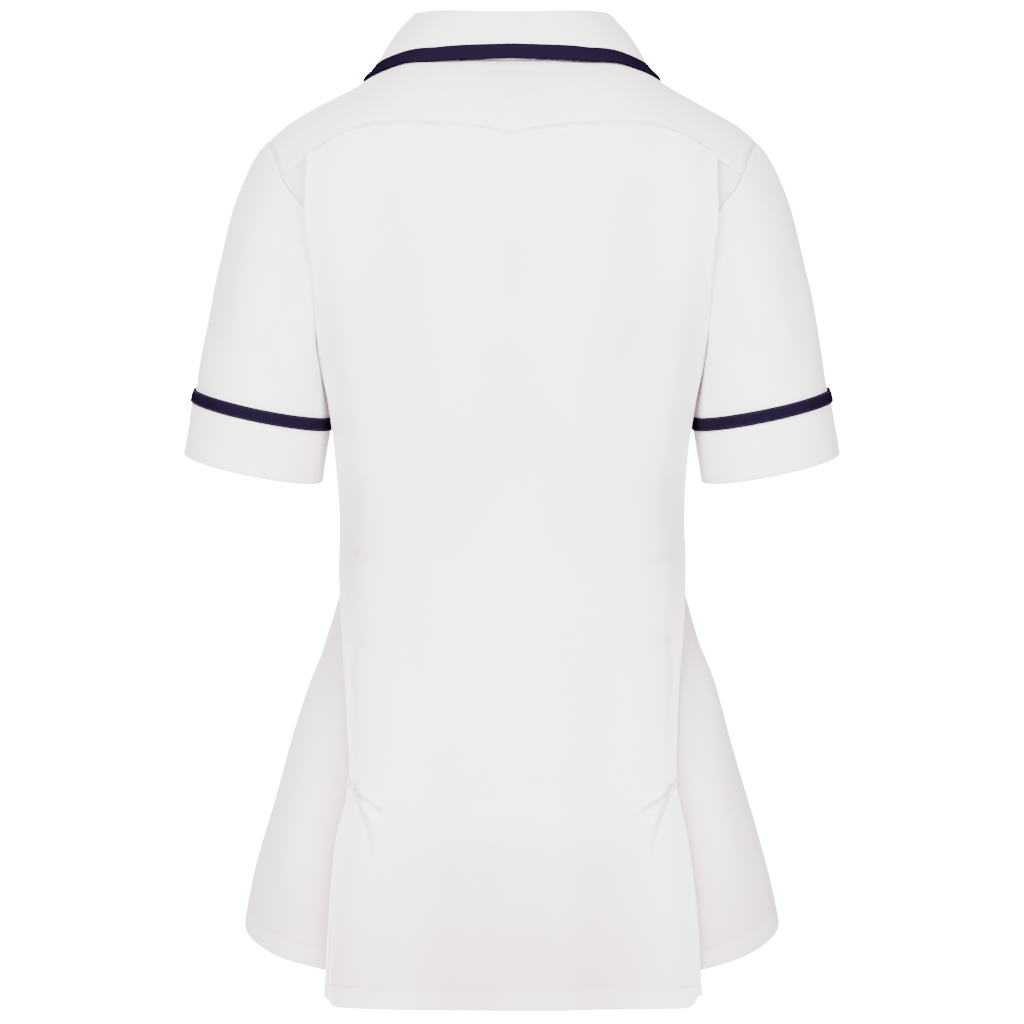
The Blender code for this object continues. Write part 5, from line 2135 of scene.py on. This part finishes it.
@dataclass
class Zip(Piece):
    """The front zip: tape, teeth, slider and pull."""

    front: Front
    tape_half: float = 14
    tape_wall: float = 0.8
    tape_depth: float = 1.8
    above_hem: float = 8
    slider_z: float = -121
    slider: tuple[float, float, float] = (9.4, 3.4, 12)
    plate: float = 1.1
    seat: float = 0.9
    bridge_inner: float = 1.4
    bridge_outer: float = 2.4
    bridge_width: float = 2.2
    bridge_sunk: float = 0.5
    pivot_out: float = 2.3
    bar: float = 0.8
    pull_width: float = 6.4
    pull_length: float = 28
    pull_wall: float = 1.2
    window_width: float = 3.6
    window_length: float = 6
    grips: tuple[float, ...] = (11.0, 13.6, 16.2, 18.8)
    grip_rise: float = 0.22
    grip_width: float = 0.9
    tooth_pitch: float = 2.1
    tooth: Rows = ((-2.4, 0.36), (-0.9, 0.42), (0.5, 0.6), (0.9, 0.3))

    def frame_at(self, z: float) -> tuple[Vector, Vector, Vector]:
        """Directions on the centre front.

        Args:
            z: Height.

        Returns:
            The point there, its outward normal and the downward direction.
        """
        torso = self.torso
        change = torso.surface_y(0, z - 8, False) - torso.surface_y(0, z + 8, False)
        down = Vector((0, change, -16)).normalized()
        outward = Vector((1, 0, 0)).cross(down).normalized()
        return torso.at(0, z, False), -outward if outward.y > 0 else outward, down

    def placement(self) -> Matrix:
        """Where the slider's own directions lie on the garment.

        Returns:
            Matrix from (x, out, down) at its middle, in millimetres, to metres.
        """
        point, outward, down = self.frame_at(self.slider_z)
        rotation = Matrix((Vector((1, 0, 0)), outward, down)).transposed().to_4x4()
        return Matrix.Translation(point * MM) @ rotation @ Matrix.Scale(MM, 4)

    def build_tape(self) -> None:
        """Make the tape behind the two front edges."""
        levels = self.front.opening_levels()
        levels[0] -= 1
        levels[-1] += self.above_hem
        grid = []
        for z in levels:
            inward = self.frame_at(z)[1] * -self.tape_depth
            grid.append([self.torso.at(x, z, False) + inward for x in (-self.tape_half, 0, self.tape_half)])
        cloth = self.panel(Side.LEFT, grid, -350)
        row, column = fine(cloth.rows - 1, 10), fine(2, 10)
        self.lay("zip_tape", cloth, row, column, self.finishes.tape, "zip_tape", Slot.TAPE, self.tape_wall)
        self.build_teeth(cloth)

    def build_teeth(self, cloth: Cloth) -> None:
        """Make the two rows of interlocked teeth on the tape.

        Args:
            cloth: The tape.
        """
        points, normals = line_on(cloth, (0.35, cloth.rows - 1.05), 1.0, self.tape_wall / 2, 3000)
        run = run_of(points)
        mesh = Mesh()
        caps = np.array([(0, 1, 2, 3), (12, 13, 14, 15)])
        faces = np.concatenate([grid_faces(4, 4, True), caps])
        for k in range(int(run[-1] / self.tooth_pitch * 2)):
            at = (k + 0.5) * self.tooth_pitch / 2
            centre, up = along_line(at, run, points), along_line(at, run, normals)
            down = unit(along_line(at + 0.5, run, points) - centre)
            across = np.array((1 if k % 2 else -1, 0, 0))
            block = np.array([
                centre + across * reach + up * out + down * (half * along)
                for reach, half in self.tooth
                for out, along in ((0.0, -1), (0.0, 1), (1.0, 0.7), (1.0, -0.7))
            ])
            mesh.add(block, block[:, (0, 2)], faces)
        item = mesh.build("zip_teeth", self.finishes.coil, 40)
        weld(item, 0.000001)
        self.join_frame(item, Slot.TAPE)

    @staticmethod
    def solid(rings: Sequence[Rows], bevel: float) -> bpy.types.Mesh:
        """A bevelled solid between two rings of corners.

        Args:
            rings: Two rings of (x, out, down).
            bevel: Size of the bevel.

        Returns:
            Mesh in the slider's own directions, in millimetres.
        """
        work = bmesh.new()
        first, second = [[work.verts.new(corner) for corner in ring] for ring in rings]
        work.faces.new(first)
        work.faces.new(second[::-1])
        for i in range(len(first)):
            k = (i + 1) % len(first)
            work.faces.new((first[i], first[k], second[k], second[i]))
        bmesh.ops.recalc_face_normals(work, faces=work.faces)
        sharp = [e for e in work.edges if e.calc_face_angle(0) > math.radians(35)]
        bmesh.ops.bevel(
            work, geom=sharp, offset=bevel, segments=2, profile=0.5, affect="EDGES", clamp_overlap=True
        )
        mesh = bpy.data.meshes.new("zip_part")
        work.to_mesh(mesh)
        work.free()
        return mesh

    def prism(self, outline: Rows, half_x: float, bevel: float) -> bpy.types.Mesh:
        """A bevelled solid across the zip, from an outline of (out, down) pairs."""
        return self.solid([[(x, out, down) for out, down in outline] for x in (-half_x, half_x)], bevel)

    def slab(self, outline: Rows, low: float, high: float, bevel: float) -> bpy.types.Mesh:
        """A bevelled plate along the zip, from an outline of (x, down) pairs."""
        return self.solid([[(x, out, down) for x, down in outline] for out in (low, high)], bevel)

    def metal_piece(self, name: str, meshes: Sequence[bpy.types.Mesh]) -> Item:
        """Join meshes in the slider's directions into one object.

        Args:
            name: Object name.
            meshes: Meshes in millimetres.

        Returns:
            The new object in the row frame.
        """
        joined = bmesh.new()
        for mesh in meshes:
            joined.from_mesh(mesh)
            bpy.data.meshes.remove(mesh)
        data = bpy.data.meshes.new(name)
        joined.to_mesh(data)
        joined.free()
        data.transform(self.placement())
        data.shade_smooth()
        data.set_sharp_from_angle(angle=math.radians(40))
        data.materials.append(self.finishes.metal)
        return placed(name, data)

    def build_slider(self) -> float:
        """Make the slider: two plates, the wedge between them and the bridge.

        Returns:
            Distance of the hinge out from the front's surface.
        """
        half_x, depth, half = self.slider[0] / 2, self.slider[1], self.slider[2] / 2
        low, high = -self.seat, depth - self.seat
        outline = (
            (-half_x, -half + 2), (-half_x + 1.6, -half), (half_x - 1.6, -half), (half_x, -half + 2),
            (half_x, half - 5), (half_x - 1.8, half), (-half_x + 1.8, half), (-half_x, half - 5),
        )
        tiers = [self.slab(outline, start, start + self.plate, 0.3) for start in (low, high - self.plate)]
        under, over, start, end = low + 0.9, high - 0.9, -half + 0.4, -half + 5
        tiers.append(self.prism([(under, start), (under, end), (over, end), (over, start)], 1.3, 0.2))
        centre = high + self.pivot_out
        arches = []
        for radius in (self.bridge_outer, self.bridge_inner):
            turns = spread(math.pi / 2, -math.pi / 2, 13)
            arch = [(centre + radius * math.cos(a), radius * math.sin(a)) for a in turns]
            foot = high - self.bridge_sunk
            arches.append([(foot, radius), *arch, (foot, -radius)])
        tiers.append(self.prism(arches[0] + arches[1][::-1], self.bridge_width / 2, 0.2))
        self.join_frame(self.metal_piece("zip_slider_metal", tiers), Slot.METAL, "zip_slider")
        return centre

    def build_pull(self, pivot: float) -> None:
        """Make the pull: a bar in the bridge and a tab with a window and grips.

        Args:
            pivot: Distance of the hinge out from the front's surface.
        """
        half, window, wall = self.pull_width / 2, self.window_width / 2, self.pull_wall / 2
        turns = [2 * math.pi * i / 16 for i in range(16)]
        bar = self.prism([(pivot + self.bar * math.cos(a), self.bar * math.sin(a)) for a in turns], half, 0.1)
        end = self.pull_length
        outline = [(-half, 0.1), (-half, end - 4), (-half * 0.85, end - 1.4), (-half * 0.5, end)]
        outline += [(-x, down) for x, down in outline[::-1]]
        foot = self.window_length
        outline += [(window, 0.1), (window, foot), (-window, foot), (-window, 0.1)]
        tab = self.slab(outline, pivot - wall, pivot + wall, 0.22)
        low, high = pivot - wall - self.grip_rise, pivot + wall + self.grip_rise
        grips = []
        for start in self.grips:
            stop = start + self.grip_width
            corners = [(low, start), (low, stop), (high, stop), (high, start)]
            grips.append(self.prism(corners, half * 0.62, 0.15))
        item = self.metal_piece("zip_pull_metal", [bar, tab, *grips])
        self.join_frame(item, Slot.METAL, "zip_pull", body="zip_pull")


@dataclass(frozen=True)
class Studio:
    """Camera, lights and floor."""

    distance: float = 2.8
    middle_z: float = -0.337
    frame_width: float = 1024 * 0.00078
    sensor: float = 36
    world: float = 1.06
    seen_world: float = 30.0
    floor_z: float = -1050

    def camera(self) -> None:
        """Place the camera behind the wearer, level, as in the photo."""
        data = bpy.data.cameras.new("camera")
        data.sensor_width = self.sensor
        data.lens = self.sensor * self.distance / self.frame_width
        item = placed("camera", data)
        item.location = (0, self.distance, self.middle_z)
        item.rotation_euler = (math.radians(90), 0, math.radians(180))
        bpy.context.scene.camera = item

    def backdrop(self) -> None:
        """White surroundings that also give the even light."""
        world = bpy.data.worlds.new("white_room")
        bpy.context.scene.world = world
        world.use_nodes = True
        tree = world.node_tree
        background = tree.nodes["Background"]
        background.inputs["Color"].default_value = (1, 0.90, 0.95, 1)
        path = tree.nodes.new("ShaderNodeLightPath")
        strength = tree.nodes.new("ShaderNodeMapRange")
        strength.inputs["To Min"].default_value = self.world
        strength.inputs["To Max"].default_value = self.seen_world
        tree.links.new(path.outputs["Is Camera Ray"], strength.inputs["Value"])
        tree.links.new(strength.outputs["Result"], background.inputs["Strength"])

    def light(
        self, name: str, place: Sequence[float], target: Sequence[float], size: float, power: float
    ) -> None:
        """A soft square lamp.

        Args:
            name: Lamp name.
            place: Where it stands, in metres.
            target: What it points at.
            size: Length of its side.
            power: Watts.
        """
        data = bpy.data.lights.new(name, "AREA")
        data.size = size
        data.energy = power
        item = placed(name, data)
        item.location = place
        item.rotation_mode = "QUATERNION"
        item.rotation_quaternion = (Vector(target) - Vector(place)).to_track_quat("-Z", "Y")

    def floor(self) -> None:
        """A pale floor well below the hem."""
        graph = Graph("pale_floor")
        x, y, z = graph.place()
        tone = graph.noise(graph.vector(x, y, z), 0.002, 2.0)
        graph.set(Base_Color=graph.colour_mix(tone, (0.86, 0.86, 0.86), (0.9, 0.9, 0.9)), Roughness=0.8)
        corners = np.array([(-1500, -900), (1500, -900), (1500, 2200), (-1500, 2200)], float)
        mesh = Mesh()
        mesh.add(np.column_stack((corners, np.full(4, self.floor_z))), corners, np.array([(0, 1, 2, 3)]))
        mesh.build("floor", graph.material)

    def build(self) -> None:
        """Set up everything."""
        self.camera()
        self.backdrop()
        self.floor()
        self.light("key", (0.9, 2.4, 1.1), (0, 0.1, -0.2), 1.0, 250)
        self.light("fill", (-1.2, 2.4, 0.3), (0, 0.1, -0.35), 1.0, 140)
        self.light("front", (0.8, -2.6, 1.0), (0, 0, -0.3), 1.2, 190)


def main() -> None:
    """Build every piece of the tunic in order, then the studio."""
    logging.basicConfig(level=logging.INFO, format="%(message)s")
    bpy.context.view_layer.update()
    finishes = Finishes.make()
    torso = Torso()
    back = BackCentre(torso, finishes)
    back.build()
    log.info("centre back")
    Yoke(torso, finishes).build(back.fold_top_x)
    log.info("yoke")
    front = Front(torso, finishes)
    for side in Side:
        SideBack(torso, finishes, back).build(side)
        front.build(side)
        Sleeve(torso, finishes).build(side)
        Revers(torso, finishes).build(side)
        log.info("%s side", side.word)
    Collar(torso, finishes).build()
    log.info("collar")
    zip_front = Zip(torso, finishes, front)
    zip_front.build_tape()
    zip_front.build_pull(zip_front.build_slider())
    log.info("zip")
    Studio().build()


if __name__ == "__main__":
    main()
